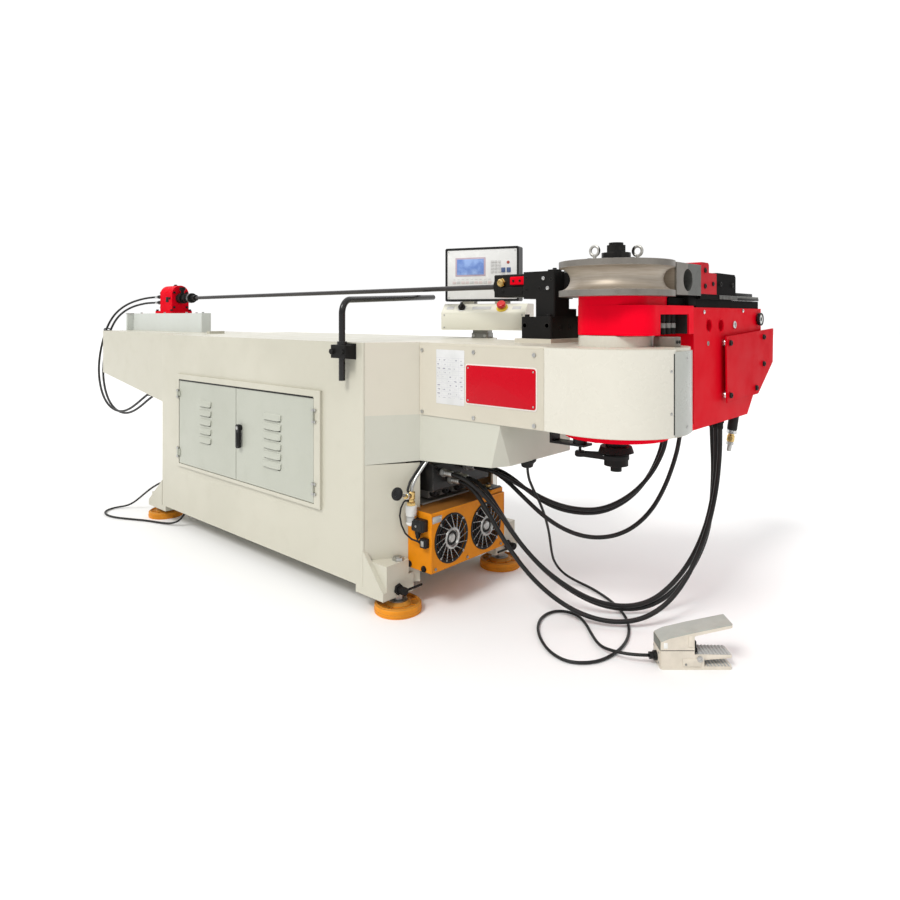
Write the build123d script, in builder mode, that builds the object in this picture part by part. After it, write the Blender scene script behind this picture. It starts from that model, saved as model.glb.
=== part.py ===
from build123d import *
import math
import os

os.makedirs("parts", exist_ok=True)

# ---------------------------------------------------------------- driving dimensions (mm)
AX, AY = 1694.46, -297.00         # bend axis in the part frame
CLR = 190.5                      # centre-line radius of the bend die
TUBE_R = 38.1                    # tube radius that the tooling grips
Z_TUBE = 1222.0                  # height of the tube line
Z_TOP = 1000.0                   # top of the frame
CAB_F, CAB_R, CAB_Y = -823.0, -2465.0, 405.0   # cabinet front, rear, half width
CAB_Z = 90.0                     # underside of the cabinet
BED_Y, BED_Z = 222.0, 725.0      # half width and underside of the front bed
NOSE_R = 236.0
HAUNCH_X = -320.0                # front of the deep box under the bed
BEAM_R = -3740.0                 # rear end of the rear beam
FOOT_R, FOOT_H = 88.0, 32.0
FEET = [(-735.0, -309.0, 186.0), (-735.0, 309.0, 186.0), (-2568.0, -335.0, 130.0), (-2568.0, 335.0, 130.0)]   # x, y, top of the bracket
DOOR_X0, DOOR_XM, DOOR_X1 = -2250.0, -1700.0, -1110.0
DOOR_Z0, DOOR_Z1 = 347.0, 772.0
HINGE_Y = -423.0
DIE_R = 190.0
DIE_Z0, DIE_Z1 = 1164.0, 1280.0
SHAFT_R = 35.0
ARM_X0, ARM_X1 = -115.0, 155.0
ARM_Y0, ARM_Y1 = 266.0, 970.0
ARM_Z0, ARM_Z1 = 700.0, 1130.0
CONSOLE_X, CONSOLE_Y, CONSOLE_YAW = -860.0, 340.0, 19.0
PEDAL_X, PEDAL_Y, PEDAL_YAW = 244.3, 41.7, 42.2
PEDAL_L, PEDAL_W = 223.0, 72.0
HOSE_D, HOSE_D2, CABLE_D, REAR_D = 16.0, 17.0, 10.0, 14.0

BASE = Plane(origin=(AX, AY, 0))


def xy(z):
    return Plane(origin=(AX, AY, z))


def xz(y):
    return Plane(origin=(AX, AY + y, 0), x_dir=(1, 0, 0), z_dir=(0, -1, 0))


def yz(x):
    return Plane(origin=(AX + x, AY, 0), x_dir=(0, 1, 0), z_dir=(1, 0, 0))


def slab(x0, x1, y0, y1, z0, z1, mode=Mode.ADD):
    with Locations(((x0 + x1) / 2, (y0 + y1) / 2, (z0 + z1) / 2)):
        return Box(x1 - x0, y1 - y0, z1 - z0, mode=mode)


def bar_x(x0, x1, y, z, r, mode=Mode.ADD):
    with Locations(Location(((x0 + x1) / 2, y, z), (0, 90, 0))):
        return Cylinder(r, x1 - x0, mode=mode)


def bar_y(y0, y1, x, z, r, mode=Mode.ADD):
    with Locations(Location((x, (y0 + y1) / 2, z), (90, 0, 0))):
        return Cylinder(r, y1 - y0, mode=mode)


def bar_z(z0, z1, x, y, r, mode=Mode.ADD):
    with Locations((x, y, (z0 + z1) / 2)):
        return Cylinder(r, z1 - z0, mode=mode)


def hexagon(z0, z1, x, y, flats, mode=Mode.ADD):
    with BuildSketch(xy(z0)) as s:
        with Locations((x, y)):
            RegularPolygon(flats / 2, 6, major_radius=False)
    return extrude(s.sketch, amount=z1 - z0, mode=mode)


def prism_z(z0, z1, pts, mode=Mode.ADD):
    with BuildSketch(xy(z0)) as s:
        Polygon(*pts, align=None)
    return extrude(s.sketch, amount=z1 - z0, mode=mode)


def prism_y(y0, y1, pts, mode=Mode.ADD):
    # outline in X and Z, from y1 (far) to y0 (near)
    with BuildSketch(xz(y1)) as s:
        Polygon(*pts, align=None)
    return extrude(s.sketch, amount=y1 - y0, mode=mode)


def prism_x(x0, x1, pts, mode=Mode.ADD):
    # outline in Y and Z
    with BuildSketch(yz(x0)) as s:
        Polygon(*pts, align=None)
    return extrude(s.sketch, amount=x1 - x0, mode=mode)


def cord_path(name, pts, dia):
    v = [Vector(AX + p[0], AY + p[1], p[2]) for p in pts]
    radii = []
    for a, b, c in zip(v[:-2], v[1:-1], v[2:]):
        turn = math.radians((b - a).get_angle(c - b))
        run = min((b - a).length, (c - b).length)
        radii.append(min(0.45 * run / math.tan(turn / 2), 4000.0))
    runs = [(b - a).length for a, b in zip(v[:-1], v[1:])]
    print("cord %-12s dia %4.1f  runs %5.0f..%4.0f  smallest radius %6.1f (%4.1f dia)" % (
        name, dia, min(runs), max(runs), min(radii), min(radii) / dia))
    print("   radii", [round(r) for r in radii])
    return v, radii


def cord_report(name, part, line, dia):
    length = sum(e.length for e in line.edges())
    print("   %-12s length %.3f m, volume / (section x length) = %.4f" % (
        name, length / 1000.0, part.volume / (math.pi * dia * dia / 4 * length)))


# ================================================================ frame: cabinet
with BuildPart(BASE) as base_frame:
    slab(CAB_R, CAB_F, -CAB_Y, CAB_Y, CAB_Z, Z_TOP)
    fillet(base_frame.edges().filter_by(Axis.Z), 7)
    slab(CAB_R + 8, CAB_F - 8, -CAB_Y + 8, CAB_Y - 8, CAB_Z + 8, Z_TOP - 12, Mode.SUBTRACT)
    # door opening and the raised surround
    slab(DOOR_X0 - 20, DOOR_X1 + 40, -417, -CAB_Y, DOOR_Z0 - 15, DOOR_Z1 + 31)
    slab(DOOR_X0, DOOR_X1, -418, -CAB_Y, DOOR_Z0, DOOR_Z1, Mode.SUBTRACT)
    slab(DOOR_X0 + 22, DOOR_X1 - 22, -410, -390, DOOR_Z0 + 18, DOOR_Z1 - 18, Mode.SUBTRACT)
    # passages for the drive, the hoses and the cable
    slab(CAB_F - 9, CAB_F + 1, -195, 195, 752, 962, Mode.SUBTRACT)
    slab(CAB_F - 9, CAB_F + 1, -60, 60, 440, 520, Mode.SUBTRACT)
    # foot brackets with side gussets
    for sx, xe, reach in ((1, CAB_F, 111), (-1, CAB_R, 158)):
        for sy in (-1, 1):
            g0, g1 = (-405, -387) if sy < 0 else (387, 405)
            prism_y(g0, g1, [(xe, 222), (xe + sx * reach, 92), (xe + sx * reach, 62), (xe - sx * 42, 62), (xe - sx * 42, 90), (xe, 90)])
            b0, b1 = (-387, -250) if sy < 0 else (250, 387)
            xa, xb = sorted((xe, xe + sx * reach))
            slab(xa, xb, b0, b1, 90, 130)
            if sx > 0:
                b2, b3 = (-387, -276) if sy < 0 else (276, 387)
                slab(xa, xb, b2, b3, 129, 186)
            xa, xb = sorted((xe - sx * 42, xe + sx * reach))
            slab(xa, xb, b0, b1, 62, 90)
    # slanted front corner plates under the bed
    prism_z(CAB_Z, 541, [(CAB_F, -397), (-705, -BED_Y), (-711.6, -BED_Y + 4.5), (CAB_F - 6.6, -392.5)])
    prism_z(CAB_Z, 541, [(CAB_F, 397), (CAB_F - 6.6, 392.5), (-711.6, BED_Y - 4.5), (-705, BED_Y)])
    for fx, fy, fz in FEET:
        bar_z(50, 190, fx, fy, 13, Mode.SUBTRACT)
    # socket ring of the console post
    bar_z(Z_TOP, Z_TOP + 22, CONSOLE_X, CONSOLE_Y, 34)
    bar_z(Z_TOP + 0.5, Z_TOP + 30, CONSOLE_X, CONSOLE_Y, 20.05, Mode.SUBTRACT)
    # lifting lug on the rear edge
    slab(-2465, -2430, -150, -60, Z_TOP, Z_TOP + 14)
    # cable entry in the rear plate
    bar_x(CAB_R - 14, CAB_R, -330, 190, 12)
base_frame.part.label = "base_frame"
export_step(base_frame.part, "parts/base_frame.step")

# ================================================================ frame: front bed and nose
with BuildPart(BASE) as front_bed:
    plan = [(CAB_F, -397), (-705, -BED_Y), (HAUNCH_X, -BED_Y), (HAUNCH_X, BED_Y), (-705, BED_Y), (CAB_F, 397)]
    prism_z(540, BED_Z + 1, plan)
    # underside rises a little to the front
    prism_y(-450, 450, [(CAB_F - 5, 530), (HAUNCH_X + 5, 530), (HAUNCH_X + 5, 575), (CAB_F - 5, 541)], Mode.SUBTRACT)
    # tapered corner on the near front edge, and the same on the far one
    corner = Plane(origin=(AX + HAUNCH_X, AY - BED_Y, BED_Z - 8), z_dir=(0.82, -0.50, -0.21))
    split(bisect_by=corner, keep=Keep.BOTTOM)
    # deep box is open below
    slab(CAB_F - 1, HAUNCH_X - 60, -210, 210, 520, BED_Z, Mode.SUBTRACT)
    plan = [(CAB_F, -397), (-705, -BED_Y), (0, -BED_Y), (0, BED_Y), (-705, BED_Y), (CAB_F, 397)]
    prism_z(BED_Z, Z_TOP, plan)
    bar_z(BED_Z, Z_TOP, 0, 0, NOSE_R)
    # bed cavity, open to the cabinet
    slab(CAB_F - 1, -60, -210, 210, BED_Z + 20, Z_TOP - 25, Mode.SUBTRACT)
    bar_z(BED_Z + 20, Z_TOP - 25, 0, 0, 222, Mode.SUBTRACT)
    # bearing bosses
    bar_z(BED_Z, BED_Z + 45, 0, 0, 75)
    bar_z(Z_TOP - 45, Z_TOP, 0, 0, 75)
    bar_z(BED_Z - 5, BED_Z + 60, 0, 0, 50.02, Mode.SUBTRACT)
    bar_z(Z_TOP - 60, Z_TOP + 5, 0, 0, 50.02, Mode.SUBTRACT)
    # stop block on the nose and the machined pad of the wiper unit
    slab(135, 205, 0, 40, Z_TOP - 1, Z_TOP + 32)
    slab(-432, -268, 12, 221, Z_TOP - 1, Z_TOP + 15)
front_bed.part.label = "front_bed"
export_step(front_bed.part, "parts/front_bed.step")

# ================================================================ frame: rear beam with plinth
with BuildPart(BASE) as rear_beam:
    prism_y(-BED_Y, BED_Y, [(CAB_R, Z_TOP), (BEAM_R, Z_TOP), (BEAM_R, 718), (CAB_R, 537)])
    prism_y(-BED_Y + 10, BED_Y - 10, [(CAB_R + 5, Z_TOP - 12), (BEAM_R + 10, Z_TOP - 12), (BEAM_R + 10, 728), (CAB_R + 5, 547)], Mode.SUBTRACT)
    slab(-3730, -2750, -30, 30, Z_TOP, 1117)
    slab(-3730, -3380, 29, 290, Z_TOP, 1117)
    slab(-3720, -3390, 40, 280, Z_TOP + 10, 1105, Mode.SUBTRACT)
    slab(-3700, -3410, 60, 200, Z_TOP - 20, Z_TOP + 12, Mode.SUBTRACT)
    slab(-3730, -3712, -72, -30, Z_TOP, 1117)
rear_beam.part.label = "rear_beam"
export_step(rear_beam.part, "parts/rear_beam.step")

# ================================================================ frame: nose cover, side panel, screws
with BuildPart(BASE) as nose_cover:
    with BuildSketch(xy(727)):
        with BuildLine():
            a0, a1 = math.radians(-14), math.radians(-100)
            ro, ri = 240.5, 236.6
            o0 = (ro * math.cos(a0), ro * math.sin(a0))
            o1 = (ro * math.cos(a1), ro * math.sin(a1))
            om = (ro * math.cos((a0 + a1) / 2), ro * math.sin((a0 + a1) / 2))
            i0 = (ri * math.cos(a0), ri * math.sin(a0))
            i1 = (ri * math.cos(a1), ri * math.sin(a1))
            im = (ri * math.cos((a0 + a1) / 2), ri * math.sin((a0 + a1) / 2))
            ThreePointArc(o0, om, o1)
            Polyline(o1, (-133, -229.5), (-133, -225.6), i1)
            ThreePointArc(i1, im, i0)
            Line(i0, o0)
        make_face()
    extrude(amount=270)
nose_cover.part.label = "nose_cover"
export_step(nose_cover.part, "parts/nose_cover.step")

with BuildPart(BASE) as side_panel:
    slab(-703, -136, -226, -BED_Y, 726, 992)
    fillet(side_panel.edges().filter_by(Axis.Y), 6)
side_panel.part.label = "side_panel"
export_step(side_panel.part, "parts/side_panel.step")

with BuildPart(BASE) as panel_screws:
    for sx in (-689, -434, -174):
        for sz in (739, 971.5):
            bar_y(-230, -226, sx, sz, 7)
            bar_y(-231, -229, sx, sz, 3, Mode.SUBTRACT)
panel_screws.part.label = "panel_screws"
export_step(panel_screws.part, "parts/panel_screws.step")

with BuildPart(BASE) as spindle_bearings:
    for z0 in (BED_Z, Z_TOP - 40):
        bar_z(z0, z0 + 40, 0, 0, 50)
        bar_z(z0 - 1, z0 + 41, 0, 0, SHAFT_R + 0.05, Mode.SUBTRACT)
spindle_bearings.part.label = "spindle_bearings"
export_step(spindle_bearings.part, "parts/spindle_bearings.step")

# ================================================================ frame: feet
with BuildPart(BASE) as foot_pads:
    for fx, fy, fz in FEET:
        bar_z(0, FOOT_H, fx, fy, FOOT_R)
        bar_z(FOOT_H - 5, FOOT_H + 1, fx, fy, FOOT_R - 14, Mode.SUBTRACT)
    fillet(foot_pads.edges().filter_by(GeomType.CIRCLE).filter_by(lambda e: abs(e.radius - FOOT_R) < 0.1 and e.center().Z > 10), 6)
foot_pads.part.label = "foot_pads"
export_step(foot_pads.part, "parts/foot_pads.step")

with BuildPart(BASE) as foot_screws:
    for fx, fy, fz in FEET:
        bar_z(FOOT_H - 5, fz + 13, fx, fy, 12)
        bar_z(FOOT_H - 5, FOOT_H + 10, fx, fy, 36)
        hexagon(FOOT_H + 14, 62, fx, fy, 38)
        hexagon(fz, fz + 11, fx, fy, 38)
foot_screws.part.label = "foot_screws"
export_step(foot_screws.part, "parts/foot_screws.step")

# ================================================================ frame: door hinges
HINGES = [(DOOR_X0, -1, ((682, 724), (378, 430))), (DOOR_X1, 1, ((673, 729), (385, 434)))]
with BuildPart(BASE) as door_hinges:
    for hx, side, spans in HINGES:
        for z0, z1 in spans:
            bar_z(z0, z1, hx, HINGE_Y, 3)
            for k0, k1 in ((z0, z0 + 9.5), (z1 - 9.5, z1)):
                bar_z(k0, k1, hx, HINGE_Y, 5.5)
                xa, xb = sorted((hx + side * 2, hx + side * 17))
                slab(xa, xb, -423, -417, k0, k1)
door_hinges.part.label = "door_hinges"
export_step(door_hinges.part, "parts/door_hinges.step")

# ================================================================ frame: hydraulics inside the cabinet
with BuildPart(BASE) as hydraulic_tank:
    slab(-2300, -1620, -150, 350, 98, 600)
    slab(-2292, -1628, -142, 342, 106, 592, Mode.SUBTRACT)
    bar_z(600, 640, -2180, 200, 45)
    bar_z(590, 645, -2180, 200, 30, Mode.SUBTRACT)
hydraulic_tank.part.label = "hydraulic_tank"
export_step(hydraulic_tank.part, "parts/hydraulic_tank.step")

with BuildPart(BASE) as pump_motor:
    bar_x(-1540, -1180, 80, 290, 125)
    bar_x(-1180, -1130, 80, 290, 90)
    bar_x(-1130, -1010, 80, 290, 62)
    slab(-1500, -1220, -30, 190, 98, 200)
    slab(-1400, -1310, 40, 120, 400, 450)
pump_motor.part.label = "pump_motor"
export_step(pump_motor.part, "parts/pump_motor.step")

# hose ends on the valve block: (y, z, outer radius)
PORTS = [(-150, 500, 13), (-108, 466, 13), (-18, 505, 12), (24, 498, 12), (66, 492, 12)]
with BuildPart(BASE) as valve_block:
    slab(CAB_F, -672, -185, 150, 425, 532)
    chamfer(valve_block.edges().filter_by(Axis.Y), 6)
    for py, pz, pr in PORTS:
        bar_x(-673, -640, py, pz, pr)
    for by in (-140, -70, 0, 70):
        slab(-800, -720, by - 22, by + 22, 390, 426)
valve_block.part.label = "valve_block"
export_step(valve_block.part, "parts/valve_block.step")

# ================================================================ frame: oil cooler
FAN_Y = (-151.0, 56.0)
FAN_Z, FAN_R = 259.0, 84.0
with BuildPart(BASE) as oil_cooler:
    prism_z(150, 372, [(-608, -261), (-608, 172), (CAB_F, 172), (CAB_F, -205), (-704.5, -205), (-704.5, -222.2), (-730.6, -261)])
    slab(-690, -616, -253, 164, 158, 364, Mode.SUBTRACT)
    slab(CAB_F + 6, -689, -197, 164, 158, 364, Mode.SUBTRACT)
    for fy in FAN_Y:
        bar_x(-617, -607, fy, FAN_Z, FAN_R, Mode.SUBTRACT)
    # core with upright fins behind the fans
    slab(CAB_F + 5, -770, -198, 165, 157, 365)
    for i in range(11):
        y0 = -180 + i * 33
        slab(-771, -755, y0, y0 + 5, 168, 354)
oil_cooler.part.label = "oil_cooler"
export_step(oil_cooler.part, "parts/oil_cooler.step")

# ================================================================ frame: mandrel cylinder
with BuildPart(BASE) as mandrel_cylinder:
    slab(-3690, -3450, 115, 265, 1117, 1135)
    slab(-3648, -3468, CLR - 60, CLR + 60, 1134, 1252)
    bar_x(-3648, -3468, CLR, 1252, 60)
    bar_x(-3630, -3480, CLR, Z_TUBE, 45, Mode.SUBTRACT)
    bar_x(-3490, -3460, CLR, Z_TUBE, 11.05, Mode.SUBTRACT)
mandrel_cylinder.part.label = "mandrel_cylinder"
export_step(mandrel_cylinder.part, "parts/mandrel_cylinder.step")

with BuildPart(BASE) as cylinder_fittings:
    bar_x(-3468, -3415, CLR, Z_TUBE, 36)
    bar_x(-3415, -3330, CLR, Z_TUBE, 25)
    bar_x(-3330, -3296, CLR, Z_TUBE, 33)
    bar_x(-3296, -3246, CLR, Z_TUBE, 20)
    bar_x(-3475, -3240, CLR, Z_TUBE, 11.6, Mode.SUBTRACT)
    bar_z(1250, 1276, -3440, CLR, 12)
    bar_z(1276, 1299, -3440, CLR, 20)
    for hz in (1235, 1195):
        bar_x(-3700, -3648, 140, hz, 9.5)
        bar_x(-3676, -3648, 140, hz, 13)
cylinder_fittings.part.label = "cylinder_fittings"
export_step(cylinder_fittings.part, "parts/cylinder_fittings.step")

# ================================================================ frame: support clamp
SUP_X, SUP_Y = -914.0, -431.0
with BuildPart(BASE) as support_clamp:
    slab(-952, -864, -457, -CAB_Y, 941, 991)
    bar_z(930, 1000, SUP_X, SUP_Y, 12.55, Mode.SUBTRACT)
    fillet(support_clamp.edges().filter_by(Axis.Z).filter_by(lambda e: e.center().Y < AY - 450), 5)
    bar_y(-466, -457, -938, 966, 9)
support_clamp.part.label = "support_clamp"
export_step(support_clamp.part, "parts/support_clamp.step")

# ================================================================ frame: wiper unit
with BuildPart(BASE) as wiper_base:
    slab(-415, -280, 30, 216, 1015, 1097)
    slab(-371, -285, 160, 212, 1096, 1127)
    slab(-371, -285, 60, 161, 1096, 1166)
    slab(-428, -285, 60, 186, 1165, 1268)
    bar_x(-440, -270, CLR, Z_TUBE, TUBE_R + 2, Mode.SUBTRACT)
    chamfer(wiper_base.edges().filter_by(Axis.Z).filter_by(lambda e: e.center().Y < AY + 70), 4)
wiper_base.part.label = "wiper_base"
export_step(wiper_base.part, "parts/wiper_base.step")

with BuildPart(BASE) as wiper_die:
    slab(-285, -45, 128, 190, 1174, 1270)
    bar_x(-300, -40, CLR, Z_TUBE, TUBE_R + 0.25, Mode.SUBTRACT)
    with BuildSketch(Plane(origin=(AX, AY, 0), x_dir=(1, 0, 0), z_dir=(0, -1, 0))):
        Polygon((0, 1150), (DIE_R + 0.8, 1150), (DIE_R + 0.8, 1290), (0, 1290), align=None)
        with Locations((CLR, Z_TUBE)):
            Circle(TUBE_R - 0.5, mode=Mode.SUBTRACT)
    revolve(axis=Axis((AX, AY, 0), (0, 0, 1)), mode=Mode.SUBTRACT)
wiper_die.part.label = "wiper_die"
export_step(wiper_die.part, "parts/wiper_die.step")

with BuildPart(BASE) as rod_guide:
    slab(-630, -428, 138, 243, 1176, 1268)
    bar_x(-640, -420, CLR, Z_TUBE, TUBE_R + 0.9, Mode.SUBTRACT)
    chamfer(rod_guide.edges().filter_by(Axis.X).filter_by(lambda e: e.center().Z > 1200 and abs(e.center().Y - AY - CLR) > 40), 4)
rod_guide.part.label = "rod_guide"
export_step(rod_guide.part, "parts/rod_guide.step")

# ================================================================ frame: pressure die base on the far side
with BuildPart(BASE) as pressure_base:
    slab(-292, -140, BED_Y, 470, 1000, 1100)
    slab(-292, -140, BED_Y, 242, 800, 1000)
    for gx in (-292, -158):
        prism_x(gx, gx + 18, [(242, 1000), (242, 830), (440, 1000)])
    slab(-240, -190, 240, 480, 1070, 1101, Mode.SUBTRACT)
pressure_base.part.label = "pressure_base"
export_step(pressure_base.part, "parts/pressure_base.step")

# ================================================================ frame: encoder and belt
ENC_X, ENC_Y, ENC_R, PUL_R = -119.0, -33.0, 15.0, 40.0
with BuildPart(BASE) as encoder:
    slab(-226, -218, -60, -5, 655, BED_Z)
    slab(-226, -88, -60, -5, 655, 663)
    slab(-250, -226, -60, -5, 717, BED_Z)
    bar_z(662, 692, ENC_X, ENC_Y, 24)
    bar_z(640, 680, ENC_X, ENC_Y, 6, Mode.SUBTRACT)
encoder.part.label = "encoder"
export_step(encoder.part, "parts/encoder.step")


def belt_outline(grow):
    # outer tangents of the two pulleys, grown by the given amount
    d = math.hypot(ENC_X, ENC_Y)
    base = math.atan2(ENC_Y, ENC_X)
    r1, r2 = PUL_R + grow, ENC_R + grow
    off = math.acos((r1 - r2) / d)
    p = [(r1 * math.cos(base + s * off), r1 * math.sin(base + s * off)) for s in (1, -1)]
    q = [(ENC_X + r2 * math.cos(base + s * off), ENC_Y + r2 * math.sin(base + s * off)) for s in (1, -1)]
    mid_p = (-r1 * math.cos(base), -r1 * math.sin(base))
    mid_q = (ENC_X + r2 * math.cos(base), ENC_Y + r2 * math.sin(base))
    return p, q, mid_p, mid_q


with BuildPart(BASE) as encoder_belt:
    for grow, mode in ((3.0, Mode.ADD), (0.4, Mode.SUBTRACT)):
        p, q, mp, mq = belt_outline(grow)
        with BuildSketch(xy(621)):
            with BuildLine():
                Line(p[0], q[0])
                ThreePointArc(q[0], mq, q[1])
                Line(q[1], p[1])
                ThreePointArc(p[1], mp, p[0])
            make_face()
        extrude(amount=13, mode=mode)
encoder_belt.part.label = "encoder_belt"
export_step(encoder_belt.part, "parts/encoder_belt.step")

# ================================================================ frame: bend cylinder
ROD_Y, ROD_Z = -73.0, 860.0
with BuildPart(BASE) as bend_cylinder:
    bar_x(-640, -360, ROD_Y, ROD_Z, 50)
    slab(-600, -420, ROD_Y - 30, ROD_Y + 30, BED_Z + 20, 830)
    bar_x(-625, -372, ROD_Y, ROD_Z, 40, Mode.SUBTRACT)
    bar_x(-380, -350, ROD_Y, ROD_Z, 15.05, Mode.SUBTRACT)
    slab(-540, -480, ROD_Y - 8, ROD_Y + 8, BED_Z, 845, Mode.SUBTRACT)
bend_cylinder.part.label = "bend_cylinder"
export_step(bend_cylinder.part, "parts/bend_cylinder.step")

# ================================================================ frame: foot pedal
cp, sp = math.cos(math.radians(PEDAL_YAW)), math.sin(math.radians(PEDAL_YAW))
PEDAL = Plane(origin=(AX + PEDAL_X, AY + PEDAL_Y, 0), x_dir=(cp, sp, 0), z_dir=(0, 0, 1))
PEDAL_SIDE = Plane(origin=(AX + PEDAL_X - PEDAL_W / 2 * sp, AY + PEDAL_Y + PEDAL_W / 2 * cp, 0), x_dir=(cp, sp, 0), z_dir=(sp, -cp, 0))
PIV_U, PIV_Z = 10.0, 34.0
with BuildPart(PEDAL) as pedal_base:
    with BuildSketch(PEDAL):
        RectangleRounded(PEDAL_L, PEDAL_W, 8)
    extrude(amount=10)
    with BuildSketch(PEDAL_SIDE):
        Polygon((-111.5, 10), (-6, 10), (-6, 104), (111.5, 130), (111.5, 142), (-8, 118), (-85, 100), (-111.5, 88), align=None)
    extrude(amount=PEDAL_W)
    fillet(pedal_base.edges().filter_by(lambda e: abs(e.length - PEDAL_W) < 1 and e.center().Z > 84), 4)
    for v0 in (-36, 30):
        slab(-7, 24, v0, v0 + 6, 9, PIV_Z + 12)
    bar_y(-32, 32, PIV_U, PIV_Z, 4)
pedal_base.part.label = "pedal_base"
export_step(pedal_base.part, "parts/pedal_base.step")

with BuildPart(PEDAL) as pedal_gland:
    bar_x(-137.5, -111.5, 0, 28, 11)
    bar_x(-123.5, -111.5, 0, 28, 15)
pedal_gland.part.label = "pedal_gland"
export_step(pedal_gland.part, "parts/pedal_gland.step")

# ================================================================ hoses and cables
A1 = [(-640, -18, 505), (-568, -18, 505), (-497, 2, 494), (-414, 62, 436), (-338, 120, 386), (-264, 182, 361),
      (-188, 245, 363), (-112, 307, 412), (-52, 356, 489), (-16, 386, 575), (-3, 397, 640), (0, 399, 698)]
A2 = [(-640, 66, 492), (-568, 66, 492), (-496, 70, 472), (-424, 100, 414), (-352, 138, 366), (-280, 198, 341),
      (-198, 264, 344), (-122, 328, 396), (-68, 376, 478), (-36, 406, 570), (-25, 418, 640), (-23, 420, 698)]
B1 = [(-640, 24, 498), (-564, 24, 498), (-486, 30, 466), (-408, 44, 405), (-334, 70, 342), (-268, 112, 296),
      (-200, 160, 273), (-134, 216, 277), (-78, 270, 308), (-30, 322, 370), (4, 362, 455), (28, 390, 548), (42, 408, 630), (46, 413, 698)]
C1 = [(-640, -150, 500), (-576, -150, 500), (-512, -128, 468), (-454, -70, 382), (-398, -26, 272), (-322, 24, 172),
      (-240, 80, 100), (-157, 139, 52), (-76, 210, 34), (-12, 280, 50), (37, 350, 102), (78, 424, 182), (106, 490, 290),
      (120, 532, 410), (122, 556, 520), (118, 568, 615), (114, 572, 698)]
C2 = [(-640, -108, 466), (-580, -108, 466), (-522, -100, 430), (-468, -74, 330), (-412, -48, 236), (-342, -20, 148),
      (-262, 12, 80), (-174, 46, 36), (-80, 88, 18), (6, 150, 28), (64, 230, 68), (100, 316, 138), (122, 396, 232),
      (136, 462, 338), (142, 510, 448), (142, 540, 556), (140, 552, 634), (138, 556, 698)]
PC = [(-352, -18, 569), (-352, -18, 516), (-348, 12, 458), (-350, 62, 396), (-366, 124, 318), (-394, 190, 236), (-424, 246, 158),
      (-444, 296, 88), (-428, 340, 32), (-372, 356, 9), (-300, 342, 7), (-222, 308, 7), (-136, 258, 7), (-62, 190, 7), (-6, 108, 7),
      (30, 14, 7), (38, -88, 7), (18, -172, 7), (-44, -226, 7), (-122, -212, 7), (-200, -156, 7), (-262, -84, 7), (-296, -2, 7),
      (-284, 72, 7), (-216, 98, 7), (-148, 52, 7), (-84, -14, 8), (-26, -68, 12), (22, -92, 20),
      (PEDAL_X - 189.5 * cp, PEDAL_Y - 189.5 * sp, 28), (PEDAL_X - 137.5 * cp, PEDAL_Y - 137.5 * sp, 28)]
R1 = [(-3700, 140, 1235), (-3760, 140, 1235), (-3828, 92, 1226), (-3884, 10, 1192), (-3920, -62, 1130), (-3938, -112, 1042),
      (-3941, -146, 934), (-3932, -172, 822), (-3903, -190, 712), (-3851, -199, 617), (-3775, -204, 540), (-3680, -206, 492),
      (-3570, -206, 470), (-3460, -205, 474), (-3352, -203, 502), (-3254, -200, 544), (-3170, -197, 586), (-3108, -195, 614)]
R2 = [(x + 8 * min(1, max(0, i - 1) / 5), y + 26 * min(1, max(0, i - 1) / 5), z - (40 - 26 * min(1, max(0, i - 1) / 5))) for i, (x, y, z) in enumerate(R1)]
RC = [(-2479, -330, 190), (-2546, -330, 190), (-2618, -342, 172), (-2692, -362, 132), (-2758, -384, 82), (-2820, -404, 36), (-2870, -424, 12),
      (-2904, -478, 7), (-2872, -542, 7), (-2796, -566, 7), (-2712, -556, 7), (-2630, -518, 7), (-2566, -484, 7), (-2496, -452, 7), (-2420, -428, 7),
      (-2350, -402, 12), (-2300, -378, 38), (-2282, -364, 82)]

v, radii = cord_path("arm_hose_a1", A1, HOSE_D)
with BuildPart() as arm_hose_a1:
    with BuildLine() as path:
        FilletPolyline(*v, radius=radii)
    with BuildSketch(Plane(origin=path.line @ 0, z_dir=path.line % 0)):
        Circle(HOSE_D / 2)
    sweep()
cord_report("arm_hose_a1", arm_hose_a1.part, path.line, HOSE_D)
arm_hose_a1.part.label = "arm_hose_a1"
export_step(arm_hose_a1.part, "parts/arm_hose_a1.step")

v, radii = cord_path("arm_hose_a2", A2, HOSE_D)
with BuildPart() as arm_hose_a2:
    with BuildLine() as path:
        FilletPolyline(*v, radius=radii)
    with BuildSketch(Plane(origin=path.line @ 0, z_dir=path.line % 0)):
        Circle(HOSE_D / 2)
    sweep()
cord_report("arm_hose_a2", arm_hose_a2.part, path.line, HOSE_D)
arm_hose_a2.part.label = "arm_hose_a2"
export_step(arm_hose_a2.part, "parts/arm_hose_a2.step")

v, radii = cord_path("arm_hose_b", B1, HOSE_D)
with BuildPart() as arm_hose_b:
    with BuildLine() as path:
        FilletPolyline(*v, radius=radii)
    with BuildSketch(Plane(origin=path.line @ 0, z_dir=path.line % 0)):
        Circle(HOSE_D / 2)
    sweep()
cord_report("arm_hose_b", arm_hose_b.part, path.line, HOSE_D)
arm_hose_b.part.label = "arm_hose_b"
export_step(arm_hose_b.part, "parts/arm_hose_b.step")

v, radii = cord_path("arm_hose_c1", C1, HOSE_D2)
with BuildPart() as arm_hose_c1:
    with BuildLine() as path:
        FilletPolyline(*v, radius=radii)
    with BuildSketch(Plane(origin=path.line @ 0, z_dir=path.line % 0)):
        Circle(HOSE_D2 / 2)
    sweep()
cord_report("arm_hose_c1", arm_hose_c1.part, path.line, HOSE_D2)
arm_hose_c1.part.label = "arm_hose_c1"
export_step(arm_hose_c1.part, "parts/arm_hose_c1.step")

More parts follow.
